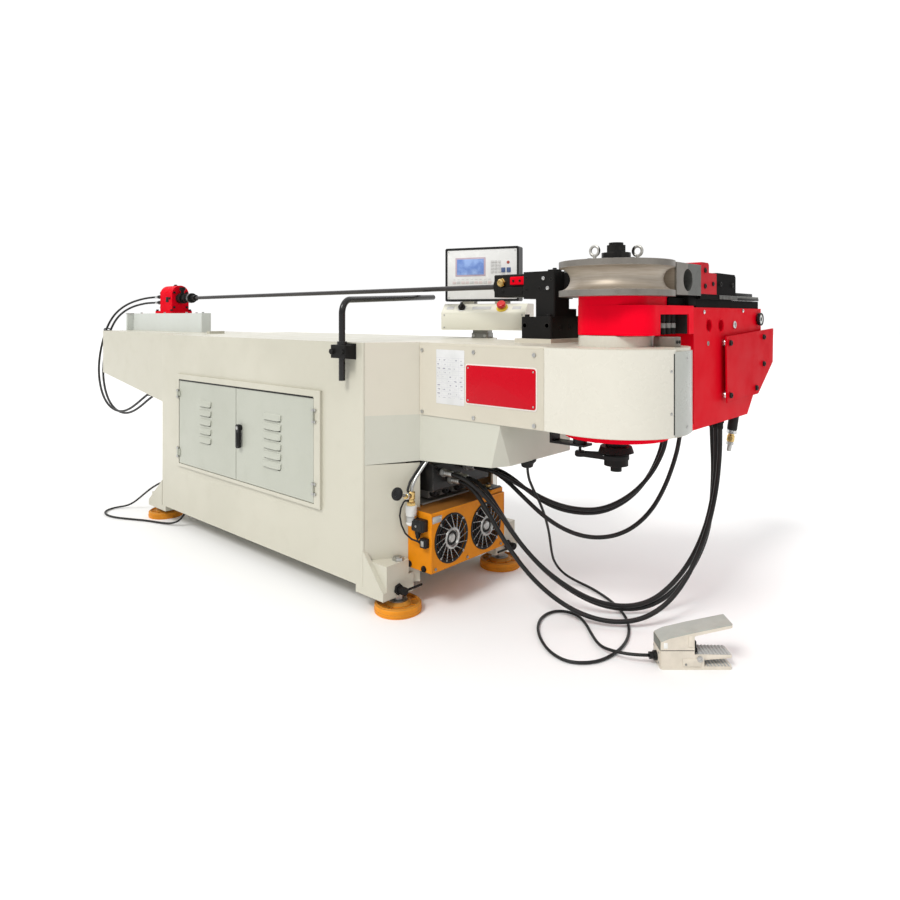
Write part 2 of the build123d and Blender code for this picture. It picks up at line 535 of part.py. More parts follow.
v, radii = cord_path("arm_hose_c2", C2, HOSE_D2)
with BuildPart() as arm_hose_c2:
    with BuildLine() as path:
        FilletPolyline(*v, radius=radii)
    with BuildSketch(Plane(origin=path.line @ 0, z_dir=path.line % 0)):
        Circle(HOSE_D2 / 2)
    sweep()
cord_report("arm_hose_c2", arm_hose_c2.part, path.line, HOSE_D2)
arm_hose_c2.part.label = "arm_hose_c2"
export_step(arm_hose_c2.part, "parts/arm_hose_c2.step")

v, radii = cord_path("pedal_cable", PC, CABLE_D)
with BuildPart() as pedal_cable:
    with BuildLine() as path:
        FilletPolyline(*v, radius=radii)
    with BuildSketch(Plane(origin=path.line @ 0, z_dir=path.line % 0)):
        Circle(CABLE_D / 2)
    sweep()
cord_report("pedal_cable", pedal_cable.part, path.line, CABLE_D)
pedal_cable.part.label = "pedal_cable"
export_step(pedal_cable.part, "parts/pedal_cable.step")

v, radii = cord_path("rear_hose_1", R1, REAR_D)
with BuildPart() as rear_hose_1:
    with BuildLine() as path:
        FilletPolyline(*v, radius=radii)
    with BuildSketch(Plane(origin=path.line @ 0, z_dir=path.line % 0)):
        Circle(REAR_D / 2)
    sweep()
cord_report("rear_hose_1", rear_hose_1.part, path.line, REAR_D)
rear_hose_1.part.label = "rear_hose_1"
export_step(rear_hose_1.part, "parts/rear_hose_1.step")

v, radii = cord_path("rear_hose_2", R2, REAR_D)
with BuildPart() as rear_hose_2:
    with BuildLine() as path:
        FilletPolyline(*v, radius=radii)
    with BuildSketch(Plane(origin=path.line @ 0, z_dir=path.line % 0)):
        Circle(REAR_D / 2)
    sweep()
cord_report("rear_hose_2", rear_hose_2.part, path.line, REAR_D)
rear_hose_2.part.label = "rear_hose_2"
export_step(rear_hose_2.part, "parts/rear_hose_2.step")

v, radii = cord_path("rear_cable", RC, CABLE_D)
with BuildPart() as rear_cable:
    with BuildLine() as path:
        FilletPolyline(*v, radius=radii)
    with BuildSketch(Plane(origin=path.line @ 0, z_dir=path.line % 0)):
        Circle(CABLE_D / 2)
    sweep()
cord_report("rear_cable", rear_cable.part, path.line, CABLE_D)
rear_cable.part.label = "rear_cable"
export_step(rear_cable.part, "parts/rear_cable.step")

# ================================================================ doors
with BuildPart(BASE) as left_door:
    slab(DOOR_X0 + 4, DOOR_XM - 2, -415, -407, DOOR_Z0 + 3, DOOR_Z1 - 3)
    for i in range(5):
        z = 480 + i * 44
        slab(-2034, -1926, -420, -415, z + 6, z + 22)
        slab(-2030, -1930, -416, -406, z - 2, z + 6, Mode.SUBTRACT)
    for z0, z1 in HINGES[0][2]:
        bar_z(z0 + 10, z1 - 10, DOOR_X0, HINGE_Y, 5.5)
        slab(DOOR_X0, DOOR_X0 + 16, -421, -415, z0 + 10, z1 - 10)
        bar_z(z0, z1, DOOR_X0, HINGE_Y, 3.05, Mode.SUBTRACT)
left_door.part.label = "left_door"
export_step(left_door.part, "parts/left_door.step")

HANDLE_X, HANDLE_Z = -1657.0, 594.0
with BuildPart(BASE) as right_door:
    slab(DOOR_XM + 2, DOOR_X1 - 4, -415, -407, DOOR_Z0 + 3, DOOR_Z1 - 3)
    for i in range(6):
        z = 445 + i * 41
        slab(-1470, -1341, -420, -415, z + 6, z + 22)
        slab(-1466, -1345, -416, -406, z - 2, z + 6, Mode.SUBTRACT)
    for z0, z1 in HINGES[1][2]:
        bar_z(z0 + 10, z1 - 10, DOOR_X1, HINGE_Y, 5.5)
        slab(DOOR_X1 - 16, DOOR_X1, -421, -415, z0 + 10, z1 - 10)
        bar_z(z0, z1, DOOR_X1, HINGE_Y, 3.05, Mode.SUBTRACT)
    bar_y(-420, -400, HANDLE_X, HANDLE_Z, 8.05, Mode.SUBTRACT)
right_door.part.label = "right_door"
export_step(right_door.part, "parts/right_door.step")

with BuildPart(BASE) as door_handle:
    slab(HANDLE_X - 13, HANDLE_X + 13, -436, -423, HANDLE_Z - 92, HANDLE_Z + 15)
    fillet(door_handle.edges().filter_by(Axis.Y), 8)
    bar_y(-424, -402, HANDLE_X, HANDLE_Z, 8)
    bar_y(-424, -415.6, HANDLE_X, HANDLE_Z, 12)
    # latch blade behind the door
    slab(HANDLE_X - 10, HANDLE_X + 10, -402, -399, HANDLE_Z - 40, HANDLE_Z + 10)
door_handle.part.label = "door_handle"
export_step(door_handle.part, "parts/door_handle.step")

# ================================================================ mandrel rod
# rod, plug and piston screw together end to end
with BuildPart(BASE) as mandrel_shaft:
    bar_x(-3481, -152, CLR, Z_TUBE, 11)

with BuildPart(BASE) as mandrel_plug:
    bar_x(-152, -5, CLR, Z_TUBE, TUBE_R - 3.6)
    fillet(mandrel_plug.edges().filter_by(GeomType.CIRCLE).filter_by(lambda e: e.center().X > AX - 10), 14)

with BuildPart(BASE) as mandrel_piston:
    bar_x(-3505, -3481, CLR, Z_TUBE, 44.95)

mandrel_rod = Compound([mandrel_shaft.part.solid(), mandrel_plug.part.solid(), mandrel_piston.part.solid()])
mandrel_rod.label = "mandrel_rod"
export_step(mandrel_rod, "parts/mandrel_rod.step")

# ================================================================ support rod
SUP_TIP = (-1130.0, 295.0, 1189.0)   # the arm crosses the bed just under the mandrel rod
with BuildPart() as support_rod:
    with BuildLine() as path:
        FilletPolyline(Vector(AX + SUP_X, AY + SUP_Y, 855), Vector(AX + SUP_X, AY + SUP_Y, 1161),
                       Vector(AX + SUP_TIP[0], AY + SUP_TIP[1], SUP_TIP[2]), radius=55)
    with BuildSketch(Plane(origin=path.line @ 0, z_dir=(0, 0, 1))):
        Circle(12.5)
    sweep()
    with BuildSketch(Plane(origin=(AX + SUP_X, AY + SUP_Y, 991.5))):
        Circle(19)
    extrude(amount=12)
support_rod.part.label = "support_rod"
export_step(support_rod.part, "parts/support_rod.step")

# ================================================================ console
cc, sc = math.cos(math.radians(CONSOLE_YAW)), math.sin(math.radians(CONSOLE_YAW))
CON = Plane(origin=(AX + CONSOLE_X, AY + CONSOLE_Y, 0), x_dir=(cc, sc, 0), z_dir=(0, 0, 1))
# outline plane of the desk: local x to the back, local y up, normal along the desk
DESK0, DESK1 = -175.0, 225.0


def desk_plane(u):
    return Plane(origin=(AX + CONSOLE_X + u * cc, AY + CONSOLE_Y + u * sc, 0), x_dir=(-sc, cc, 0), z_dir=(cc, sc, 0))


ESTOP_U, SEL_U = 112.0, -80.0
FACE_V, FACE_Z = -50.0, 1135.5
SLOPE = math.radians(45.7)      # lean of the button panel from the upright
NV, NZ = -math.cos(SLOPE), math.sin(SLOPE)


def panel_plane(u):
    # outward from the button panel: local z is the panel's normal
    o = (AX + CONSOLE_X + u * cc - FACE_V * sc, AY + CONSOLE_Y + u * sc + FACE_V * cc, FACE_Z)
    return Plane(origin=o, x_dir=(cc, sc, 0), z_dir=(-NV * sc, NV * cc, NZ))


with BuildPart(CON) as console_box:
    bar_z(Z_TOP + 1, 1040, 0, 0, 20)
    bar_z(Z_TOP + 23, 1040, 0, 0, 30)
    with BuildSketch(desk_plane(DESK0)):
        Polygon((-70, 1036), (60, 1036), (60, 1155), (-30, 1155), (-70, 1116), align=None)
    extrude(amount=DESK1 - DESK0)
    fillet(console_box.edges().filter_by(lambda e: e.length > 300 and e.center().Z > 1100), 6)
    with BuildSketch(desk_plane(DESK0 + 8)):
        Polygon((-62, 1046), (61, 1046), (61, 1147), (-27, 1147), (-62, 1113), align=None)
    extrude(amount=DESK1 - DESK0 - 16, mode=Mode.SUBTRACT)
    for u in (-60, 100):
        slab(u - 30, u + 30, -28, 14, 1154, 1166)
    for u, r in ((ESTOP_U, 8.05), (SEL_U, 6.05)):
        with BuildSketch(panel_plane(u)):
            Circle(r)
        extrude(amount=14, both=True, mode=Mode.SUBTRACT)
console_box.part.label = "console_box"
export_step(console_box.part, "parts/console_box.step")

with BuildPart(CON) as controller:
    slab(-168, 186, -40, 18, 1166, 1410)
    fillet(controller.edges().filter_by(lambda e: abs(e.length - 58) < 0.5), 8)
    slab(-159, 177, -41, -36, 1175, 1401, Mode.SUBTRACT)
controller.part.label = "controller"
export_step(controller.part, "parts/controller.step")

with BuildPart() as estop_button:
    with BuildSketch(panel_plane(ESTOP_U).offset(-24)):
        Circle(8)
    extrude(amount=40)
    with BuildSketch(panel_plane(ESTOP_U).offset(15)):
        Circle(20)
    extrude(amount=15)
    fillet(estop_button.edges().filter_by(GeomType.CIRCLE).filter_by(lambda e: e.radius > 19 and e.center().Z > FACE_Z + 27 * NZ), 6)
estop_button.part.label = "estop_button"
export_step(estop_button.part, "parts/estop_button.step")

with BuildPart() as selector_switch:
    with BuildSketch(panel_plane(SEL_U).offset(-24)):
        Circle(6)
    extrude(amount=28)
    with BuildSketch(panel_plane(SEL_U).offset(2)):
        Circle(16)
    extrude(amount=10)
    with BuildSketch(panel_plane(SEL_U).offset(11)):
        Rectangle(10, 30)
    extrude(amount=13)
selector_switch.part.label = "selector_switch"
export_step(selector_switch.part, "parts/selector_switch.step")

# ================================================================ pressure die
with BuildPart(BASE) as pressure_die:
    slab(-390, -20, 191, 262, 1171, 1273)
    bar_x(-400, -10, CLR, Z_TUBE, TUBE_R + 0.1, Mode.SUBTRACT)
    slab(-284, -150, 262, 300, 1101, 1268)
    slab(-284, -150, 262, 430, 1101, 1130)
    slab(-236, -194, 262, 430, 1072, 1102)
pressure_die.part.label = "pressure_die"
export_step(pressure_die.part, "parts/pressure_die.step")

# ================================================================ swing arm
with BuildPart(BASE) as swing_arm:
    slab(ARM_X0, ARM_X1, -110, ARM_Y0 + 1, 1037, 1135)
    fillet(swing_arm.edges().filter_by(Axis.Z).filter_by(lambda e: e.center().Y < AY), 80)
    prism_x(ARM_X0, ARM_X1, [(ARM_Y0, ARM_Z0), (805, ARM_Z0), (ARM_Y1, 865), (ARM_Y1, ARM_Z1), (ARM_Y0, ARM_Z1)])
    # inside of the welded box, open at the back
    prism_x(ARM_X0 - 1, ARM_X1 - 18, [(ARM_Y0 + 30, 722), (796, 722), (948, 874), (948, 1100), (ARM_Y0 + 30, 1100)], Mode.SUBTRACT)
    slab(ARM_X0, ARM_X1 - 17, 560, 580, 721, 1101)
    slab(ARM_X0, ARM_X1, 0, ARM_Y0 + 1, ARM_Z0, ARM_Z0 + 22)
    bar_z(ARM_Z0, ARM_Z0 + 22, 0, 0, 170)
    with BuildSketch(xy(1134)):
        with Locations((7, 35.5)):
            RectangleRounded(242, 289, 79)
    extrude(amount=DIE_Z0 - 1134)
    # window in the front of the hub, and ports in the front plate
    slab(70, ARM_X1 + 1, 5, 225, 1030, 1105, Mode.SUBTRACT)
    for hy, hz, hr in ((404, 1065, 22), (520, 1064, 22), (655, 1065, 14), (395, 1000, 9)):
        bar_x(ARM_X1 - 30, ARM_X1 + 1, hy, hz, hr, Mode.SUBTRACT)
    bar_z(ARM_Z0 - 5, DIE_Z0 + 5, 0, 0, SHAFT_R + 0.1, Mode.SUBTRACT)
swing_arm.part.label = "swing_arm"
export_step(swing_arm.part, "parts/swing_arm.step")

with BuildPart(BASE) as arm_cover:
    prism_x(172, 178, [(522, 774), (867, 780), (1054, 902), (1060, 1046), (515, 1022)])
    for sy, sz in ((548, 800), (545, 998), (835, 806), (925, 1012), (925, 900)):
        bar_x(ARM_X1, 172, sy, sz, 10)
        bar_x(178, 184, sy, sz, 8)
arm_cover.part.label = "arm_cover"
export_step(arm_cover.part, "parts/arm_cover.step")

with BuildPart(BASE) as arm_slideway:
    slab(-100, 150, 300, 950, ARM_Z1, 1148)
    for x0 in (-100, 90):
        slab(x0, x0 + 60, 300, 950, 1147, 1160)
arm_slideway.part.label = "arm_slideway"
export_step(arm_slideway.part, "parts/arm_slideway.step")

with BuildPart(BASE) as spindle:
    bar_z(664, 1278, 0, 0, SHAFT_R)
    bar_z(1277, 1345, 0, 0, 24)
    with BuildSketch(xy(644)):
        Circle(58.5)
    extrude(amount=20, taper=18)
    bar_z(637, 645, 0, 0, 25)
    bar_z(600, 637, 0, 0, PUL_R)
    bar_z(580, 600, 0, 0, 18.5)
spindle.part.label = "spindle"
export_step(spindle.part, "parts/spindle.step")

MOD, TEETH = 5.0, 20
PITCH_R = MOD * TEETH / 2
with BuildPart(BASE) as bend_pinion:
    bar_z(840, 880, 0, 0, 43.5)
    with BuildSketch(xy(840)):
        with PolarLocations(0, TEETH):
            Polygon((42, -4.6), (49, -3.2), (54, -1.6), (54, 1.6), (49, 3.2), (42, 4.6), align=None)
    extrude(amount=40)
    bar_z(835, 885, 0, 0, SHAFT_R + 0.1, Mode.SUBTRACT)
bend_pinion.part.label = "bend_pinion"
export_step(bend_pinion.part, "parts/bend_pinion.step")

with BuildPart(BASE) as bend_die:
    with BuildSketch(Plane(origin=(AX, AY, 0), x_dir=(1, 0, 0), z_dir=(0, -1, 0))):
        Polygon((SHAFT_R + 0.1, DIE_Z0), (DIE_R, DIE_Z0), (DIE_R, DIE_Z1), (SHAFT_R + 0.1, DIE_Z1), align=None)
        with Locations((CLR, Z_TUBE)):
            Circle(TUBE_R, mode=Mode.SUBTRACT)
    revolve(axis=Axis((AX, AY, 0), (0, 0, 1)))
    # straight grip block beside the tangent point
    slab(0, 220, 100, 220, DIE_Z0 - 5, DIE_Z1 + 5, Mode.SUBTRACT)
    slab(0, 167, 99.5, 190, 1171, 1279)
    bar_x(-0.5, 180, CLR, Z_TUBE, TUBE_R, Mode.SUBTRACT)
bend_die.part.label = "bend_die"
export_step(bend_die.part, "parts/bend_die.step")

with BuildPart(BASE) as die_nut:
    bar_z(DIE_Z1, 1311, 0, 0, 48)
    hexagon(1311, 1336, 0, 0, 60)
    bar_z(1270, 1350, 0, 0, 24.1, Mode.SUBTRACT)
    for s in (-1, 1):
        ex, ey = s * 72 * 0.741, s * 72 * 0.672
        bar_z(DIE_Z1, 1304, ex, ey, 6)
        bar_z(DIE_Z1, 1286, ex, ey, 11)
        with Locations(Location((ex, ey, 1318), (90, 0, 42.2))):
            Torus(16, 5)
die_nut.part.label = "die_nut"
export_step(die_nut.part, "parts/die_nut.step")

# ================================================================ clamp
with BuildPart(BASE) as clamp_carriage:
    slab(-8, 165, 302, 660, 1160.5, 1178)
    slab(4, 163, 452, 650, 1177, 1259)
    chamfer(clamp_carriage.edges().filter_by(Axis.X).filter_by(lambda e: e.center().Z > 1250), 10)
    bar_y(445, 452, 84, 1222, 22)
clamp_carriage.part.label = "clamp_carriage"
export_step(clamp_carriage.part, "parts/clamp_carriage.step")

with BuildPart(BASE) as clamp_holder:
    slab(0, 167, 301, 373, 1178, 1290)
    slab(0, 167, 372, 445, 1178, 1255)
    chamfer(clamp_holder.edges().filter_by(Axis.X).filter_by(lambda e: e.center().Z > 1280), 8)
clamp_holder.part.label = "clamp_holder"
export_step(clamp_holder.part, "parts/clamp_holder.step")

with BuildPart(BASE) as clamp_die:
    slab(0, 167, 191, 301, 1171, 1279)
    bar_x(-10, 180, CLR, Z_TUBE, TUBE_R, Mode.SUBTRACT)
clamp_die.part.label = "clamp_die"
export_step(clamp_die.part, "parts/clamp_die.step")

# ================================================================ encoder pulley, rack, fans, treadle
with BuildPart(BASE) as encoder_pulley:
    bar_z(618, 638, ENC_X, ENC_Y, ENC_R)
    bar_z(637, 678, ENC_X, ENC_Y, 5)
encoder_pulley.part.label = "encoder_pulley"
export_step(encoder_pulley.part, "parts/encoder_pulley.step")

PITCH = math.pi * MOD
with BuildPart(BASE) as bend_rack:
    slab(-36, 188, -92, -57, 840, 880)
    with BuildSketch(xy(840)):
        for i in range(-2, 12):
            c = (i + 0.5) * PITCH
            if -30 < c < 184:
                Polygon((c - 4.6, -58), (c - 3.0, -50), (c - 1.6, -46), (c + 1.6, -46), (c + 3.0, -50), (c + 4.6, -58), align=None)
    extrude(amount=40)
    bar_x(-378, -35, ROD_Y, ROD_Z, 15)
    bar_x(-398, -377, ROD_Y, ROD_Z, 39.95)
bend_rack.part.label = "bend_rack"
export_step(bend_rack.part, "parts/bend_rack.step")


def fan_blades(fy):
    fz = FAN_Z
    bar_x(-674, -634, fy, fz, 26)
    with BuildSketch(Plane(origin=(AX - 654, AY + fy, fz), x_dir=(0, 1, 0), z_dir=(1, 0, 0))) as s:
        with PolarLocations(0, 7):
            Polygon((22, -9), (77, -26), (80, 12), (22, 11), align=None)
    extrude(s.sketch, amount=6)


with BuildPart(BASE) as cooler_fan_near:
    fan_blades(FAN_Y[0])
cooler_fan_near.part.label = "cooler_fan_near"
export_step(cooler_fan_near.part, "parts/cooler_fan_near.step")

with BuildPart(BASE) as cooler_fan_far:
    fan_blades(FAN_Y[1])
cooler_fan_far.part.label = "cooler_fan_far"
export_step(cooler_fan_far.part, "parts/cooler_fan_far.step")

with BuildPart(PEDAL) as pedal_treadle:
    with BuildSketch(Plane(origin=(AX + PEDAL_X - 29 * sp, AY + PEDAL_Y + 29 * cp, 0), x_dir=(cp, sp, 0), z_dir=(sp, -cp, 0))):
        Polygon((PIV_U, 26), (111, 33), (111, 44), (PIV_U, 46), align=None)
        with Locations((PIV_U, PIV_Z)):
            Circle(10)
        for i in range(8):
            u0 = 24 + i * 11
            zt = 46 - (u0 - PIV_U) * 2 / 101
            Polygon((u0, zt - 2), (u0 + 5, zt - 2), (u0 + 5, zt + 2.2), (u0, zt + 2.2), align=None)
    extrude(amount=58)
    bar_y(-32, 32, PIV_U, PIV_Z, 4.05, Mode.SUBTRACT)
pedal_treadle.part.label = "pedal_treadle"
export_step(pedal_treadle.part, "parts/pedal_treadle.step")

# ---------------------------------------------------------------- overall size without cords
pieces = [base_frame, front_bed, rear_beam, nose_cover, side_panel, panel_screws, spindle_bearings, foot_pads, foot_screws,
          door_hinges, hydraulic_tank, pump_motor, valve_block, oil_cooler, mandrel_cylinder, cylinder_fittings, support_clamp,
          wiper_base, wiper_die, rod_guide, pressure_base, encoder, encoder_belt, bend_cylinder, pedal_base, pedal_gland,
          left_door, right_door, door_handle, mandrel_shaft, mandrel_plug, mandrel_piston, support_rod, console_box, controller, estop_button, selector_switch,
          pressure_die, swing_arm, arm_cover, arm_slideway, spindle, bend_pinion, bend_die, die_nut, clamp_carriage, clamp_holder,
          clamp_die, encoder_pulley, bend_rack, cooler_fan_near, cooler_fan_far, pedal_treadle]
boxes = [p.part.bounding_box() for p in pieces]
lo = [min(getattr(b.min, k) for b in boxes) for k in "XYZ"]
hi = [max(getattr(b.max, k) for b in boxes) for k in "XYZ"]
print("without cords: X %.2f..%.2f  Y %.2f..%.2f  Z %.2f..%.2f" % (lo[0], hi[0], lo[1], hi[1], lo[2], hi[2]))
print("centre X %.3f  Y %.3f" % ((lo[0] + hi[0]) / 2, (lo[1] + hi[1]) / 2))
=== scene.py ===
import math

import bmesh
import bpy
from mathutils import Matrix, Vector


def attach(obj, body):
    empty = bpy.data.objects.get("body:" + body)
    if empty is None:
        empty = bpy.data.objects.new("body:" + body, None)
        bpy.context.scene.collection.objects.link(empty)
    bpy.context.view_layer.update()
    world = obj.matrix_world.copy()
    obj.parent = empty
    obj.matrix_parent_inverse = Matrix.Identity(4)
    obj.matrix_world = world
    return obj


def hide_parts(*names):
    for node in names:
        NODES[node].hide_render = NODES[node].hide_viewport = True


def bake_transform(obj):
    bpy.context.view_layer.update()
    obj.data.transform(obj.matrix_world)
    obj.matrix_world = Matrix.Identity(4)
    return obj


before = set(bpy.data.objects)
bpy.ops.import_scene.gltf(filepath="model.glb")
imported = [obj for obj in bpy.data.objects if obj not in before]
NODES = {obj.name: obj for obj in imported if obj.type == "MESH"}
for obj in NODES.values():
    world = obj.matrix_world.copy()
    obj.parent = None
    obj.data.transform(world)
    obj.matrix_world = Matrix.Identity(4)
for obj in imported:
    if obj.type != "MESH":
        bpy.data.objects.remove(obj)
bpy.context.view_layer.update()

scene = bpy.context.scene

# The bend axis stands at (1694.46, -297.00) mm in the part frame. Sizes below are in mm from that axis.
OX, OY = 1.69446, -0.29700


def P(x, y, z):
    return Vector((OX + x / 1000.0, OY + y / 1000.0, z / 1000.0))


AXIS = Matrix.Translation((OX, OY, 0)) @ Matrix.Scale(0.001, 4)
CONSOLE = Matrix.Translation(P(-860, 340, 0)) @ Matrix.Rotation(math.radians(19), 4, "Z") @ Matrix.Scale(0.001, 4)
PEDAL = Matrix.Translation(P(244.3, 41.7, 0)) @ Matrix.Rotation(math.radians(42.2), 4, "Z") @ Matrix.Scale(0.001, 4)

# ================================================================ camera
cam_data = bpy.data.cameras.new("camera")
cam_data.lens, cam_data.sensor_width = 27.2, 36.0
cam_data.shift_x, cam_data.shift_y = 0.0, -0.149
cam_data.clip_start, cam_data.clip_end = 0.05, 80.0
cam = bpy.data.objects.new("camera", cam_data)
scene.collection.objects.link(cam)
cam.location = (OX + 1.12, OY - 2.065, 1.10)
cam.rotation_euler = (math.radians(90), 0, math.radians(42.2))
scene.camera = cam
scene.view_settings.view_transform = "Standard"
scene.view_settings.look = "None"


# ================================================================ materials
def lin(c):
    c /= 255.0
    return c / 12.92 if c <= 0.04045 else ((c + 0.055) / 1.055) ** 2.4


def rgb(r, g, b):
    return (lin(r), lin(g), lin(b), 1.0)


class Graph:
    """A material's nodes, built from short calls."""

    def __init__(self, name, rough=0.5, metal=0.0, spec=0.5, coat=0.0, coat_rough=0.1):
        self.m = bpy.data.materials.new(name)
        self.m.use_nodes = True
        self.t = self.m.node_tree
        self.t.nodes.clear()
        out = self.t.nodes.new("ShaderNodeOutputMaterial")
        self.b = self.t.nodes.new("ShaderNodeBsdfPrincipled")
        self.t.links.new(self.b.outputs["BSDF"], out.inputs["Surface"])
        self.b.inputs["Roughness"].default_value = rough
        self.b.inputs["Metallic"].default_value = metal
        self.b.inputs["Specular IOR Level"].default_value = spec
        self.b.inputs["Coat Weight"].default_value = coat
        self.b.inputs["Coat Roughness"].default_value = coat_rough
        tc = self.t.nodes.new("ShaderNodeTexCoord")
        self.obj, self.uv = tc.outputs["Object"], tc.outputs["UV"]

    def put(self, socket, v):
        if isinstance(v, bpy.types.NodeSocket):
            self.t.links.new(v, socket)
        else:
            socket.default_value = v

    def map(self, vec, scale=(1, 1, 1), loc=(0, 0, 0), rot=(0, 0, 0)):
        n = self.t.nodes.new("ShaderNodeMapping")
        n.inputs["Scale"].default_value = scale
        n.inputs["Location"].default_value = loc
        n.inputs["Rotation"].default_value = rot
        self.put(n.inputs["Vector"], vec)
        return n.outputs["Vector"]

    def noise(self, scale, detail=3.0, rough=0.55, vec=None, distort=0.0):
        n = self.t.nodes.new("ShaderNodeTexNoise")
        n.inputs["Scale"].default_value = scale
        n.inputs["Detail"].default_value = detail
        n.inputs["Roughness"].default_value = rough
        n.inputs["Distortion"].default_value = distort
        self.put(n.inputs["Vector"], self.obj if vec is None else vec)
        return n.outputs["Fac"]

    def voronoi(self, scale, vec=None, feature="F1", out="Distance"):
        n = self.t.nodes.new("ShaderNodeTexVoronoi")
        n.feature = feature
        n.inputs["Scale"].default_value = scale
        self.put(n.inputs["Vector"], self.obj if vec is None else vec)
        return n.outputs[out]

    def wave(self, scale, vec=None, direction="X", kind="BANDS", distort=0.0, detail=2.0, profile="SIN"):
        n = self.t.nodes.new("ShaderNodeTexWave")
        n.wave_type, n.wave_profile = kind, profile
        if kind == "BANDS":
            n.bands_direction = direction
        else:
            n.rings_direction = direction
        n.inputs["Scale"].default_value = scale
        n.inputs["Distortion"].default_value = distort
        n.inputs["Detail"].default_value = detail
        self.put(n.inputs["Vector"], self.obj if vec is None else vec)
        return n.outputs["Fac"]

    def range(self, v, a, b, lo=0.0, hi=1.0):
        n = self.t.nodes.new("ShaderNodeMapRange")
        n.interpolation_type = "SMOOTHSTEP"
        self.put(n.inputs["Value"], v)
        for k, x in (("From Min", a), ("From Max", b), ("To Min", lo), ("To Max", hi)):
            n.inputs[k].default_value = x
        return n.outputs["Result"]

    def math(self, op, a, b=0.0, clamp=False):
        n = self.t.nodes.new("ShaderNodeMath")
        n.operation, n.use_clamp = op, clamp
        self.put(n.inputs[0], a)
        self.put(n.inputs[1], b)
        return n.outputs[0]

    def mix(self, fac, a, b, blend="MIX"):
        n = self.t.nodes.new("ShaderNodeMix")
        n.data_type, n.blend_type = "RGBA", blend
        self.put(n.inputs["Factor"], fac)
        self.put(n.inputs[6], a)
        self.put(n.inputs[7], b)
        return n.outputs[2]

    def xyz(self, vec=None):
        n = self.t.nodes.new("ShaderNodeSeparateXYZ")
        self.put(n.inputs[0], self.obj if vec is None else vec)
        return n.outputs

    def edges(self, radius=0.004, lo=0.02, hi=0.16):
        """1 on hard edges, 0 on flat faces."""
        bev = self.t.nodes.new("ShaderNodeBevel")
        bev.samples = 8
        bev.inputs["Radius"].default_value = radius
        geo = self.t.nodes.new("ShaderNodeNewGeometry")
        dot = self.t.nodes.new("ShaderNodeVectorMath")
        dot.operation = "DOT_PRODUCT"
        self.t.links.new(bev.outputs[0], dot.inputs[0])
        self.t.links.new(geo.outputs["Normal"], dot.inputs[1])
        return self.range(self.math("SUBTRACT", 1.0, dot.outputs["Value"]), lo, hi)

    def bump(self, height, dist, strength=1.0, normal=None):
        n = self.t.nodes.new("ShaderNodeBump")
        n.inputs["Strength"].default_value = strength
        n.inputs["Distance"].default_value = dist
        self.put(n.inputs["Height"], height)
        if normal is not None:
            self.put(n.inputs["Normal"], normal)
        return n.outputs["Normal"]

    def done(self, colour, rough=None, normal=None):
        self.put(self.b.inputs["Base Color"], colour)
        if rough is not None:
            self.put(self.b.inputs["Roughness"], rough)
        if normal is not None:
            self.put(self.b.inputs["Normal"], normal)
        return self.m


def scaled(c, k, tint=(1, 1, 1)):
    return (min(1, c[0] * k * tint[0]), min(1, c[1] * k * tint[1]), min(1, c[2] * k * tint[2]), 1.0)


def paint(name, colour, rough=0.36, var=0.05, peel=0.00012, grime=0.10, edge=0.35, edge_colour=None, coat=0.15, scale=1.0, spec=0.45):
    """Sprayed enamel: soft mottling, orange peel, a little grime in patches, and thin or chipped edges."""
    g = Graph(name, rough, 0.0, spec, coat, 0.18)
    big = g.noise(1.7 * scale, 3, 0.55)
    mid = g.noise(11 * scale, 4, 0.6)
    fine = g.noise(260, 2, 0.5)
    speck = g.noise(95, 5, 0.7)
    col = g.mix(g.range(big, 0.34, 0.66), scaled(colour, 1 - var, (1.0, 1.0, 0.99)), scaled(colour, 1 + var * 0.6))
    col = g.mix(g.math("MULTIPLY", g.range(mid, 0.52, 0.78), grime), col, scaled(colour, 0.62, (1.0, 0.97, 0.90)))
    col = g.mix(g.math("MULTIPLY", g.range(speck, 0.68, 0.76), 0.25 * min(1.0, grime * 5)), col, scaled(colour, 0.42))
    e = g.math("MULTIPLY", g.edges(0.004), g.range(g.noise(38, 4, 0.65), 0.42, 0.62))
    col = g.mix(g.math("MULTIPLY", e, edge), col, edge_colour or scaled(colour, 0.55, (1.0, 0.96, 0.88)))
    r = g.math("ADD", g.math("MULTIPLY", g.range(mid, 0.3, 0.75), 0.16), rough - 0.07)
    n = g.bump(fine, peel, 0.55)
    n = g.bump(g.noise(34, 2, 0.4), peel * 5, 0.35, n)
    return g.done(col, r, n)


def metal(name, colour, rough=0.3, scratch=(1, 1, 1), strength=0.35, stain=None, edge=None, metallic=1.0, grain=420, cloud=0.12, spec=0.5):
    """Machined or treated metal: fine directional scratches, clouded tone, brighter worn edges."""
    g = Graph(name, rough, metallic, spec)
    s = g.noise(grain, 3, 0.6, g.map(g.obj, scratch))
    c1 = g.noise(7, 4, 0.6)
    c2 = g.noise(48, 5, 0.68)
    col = g.mix(g.range(c1, 0.3, 0.7), scaled(colour, 1 - cloud), scaled(colour, 1 + cloud))
    col = g.mix(g.math("MULTIPLY", g.range(c2, 0.55, 0.8), 0.5), col, stain or scaled(colour, 0.55, (1.05, 0.95, 0.82)))
    if edge:
        e = g.math("MULTIPLY", g.edges(0.003), g.range(g.noise(60, 4, 0.6), 0.34, 0.6))
        col = g.mix(g.math("MULTIPLY", e, 0.75), col, edge)
    r = g.math("ADD", g.math("MULTIPLY", s, strength * 0.5), g.math("ADD", g.math("MULTIPLY", c2, 0.2), rough - 0.2))
    n = g.bump(s, 0.00012, strength)
    return g.done(col, r, n)


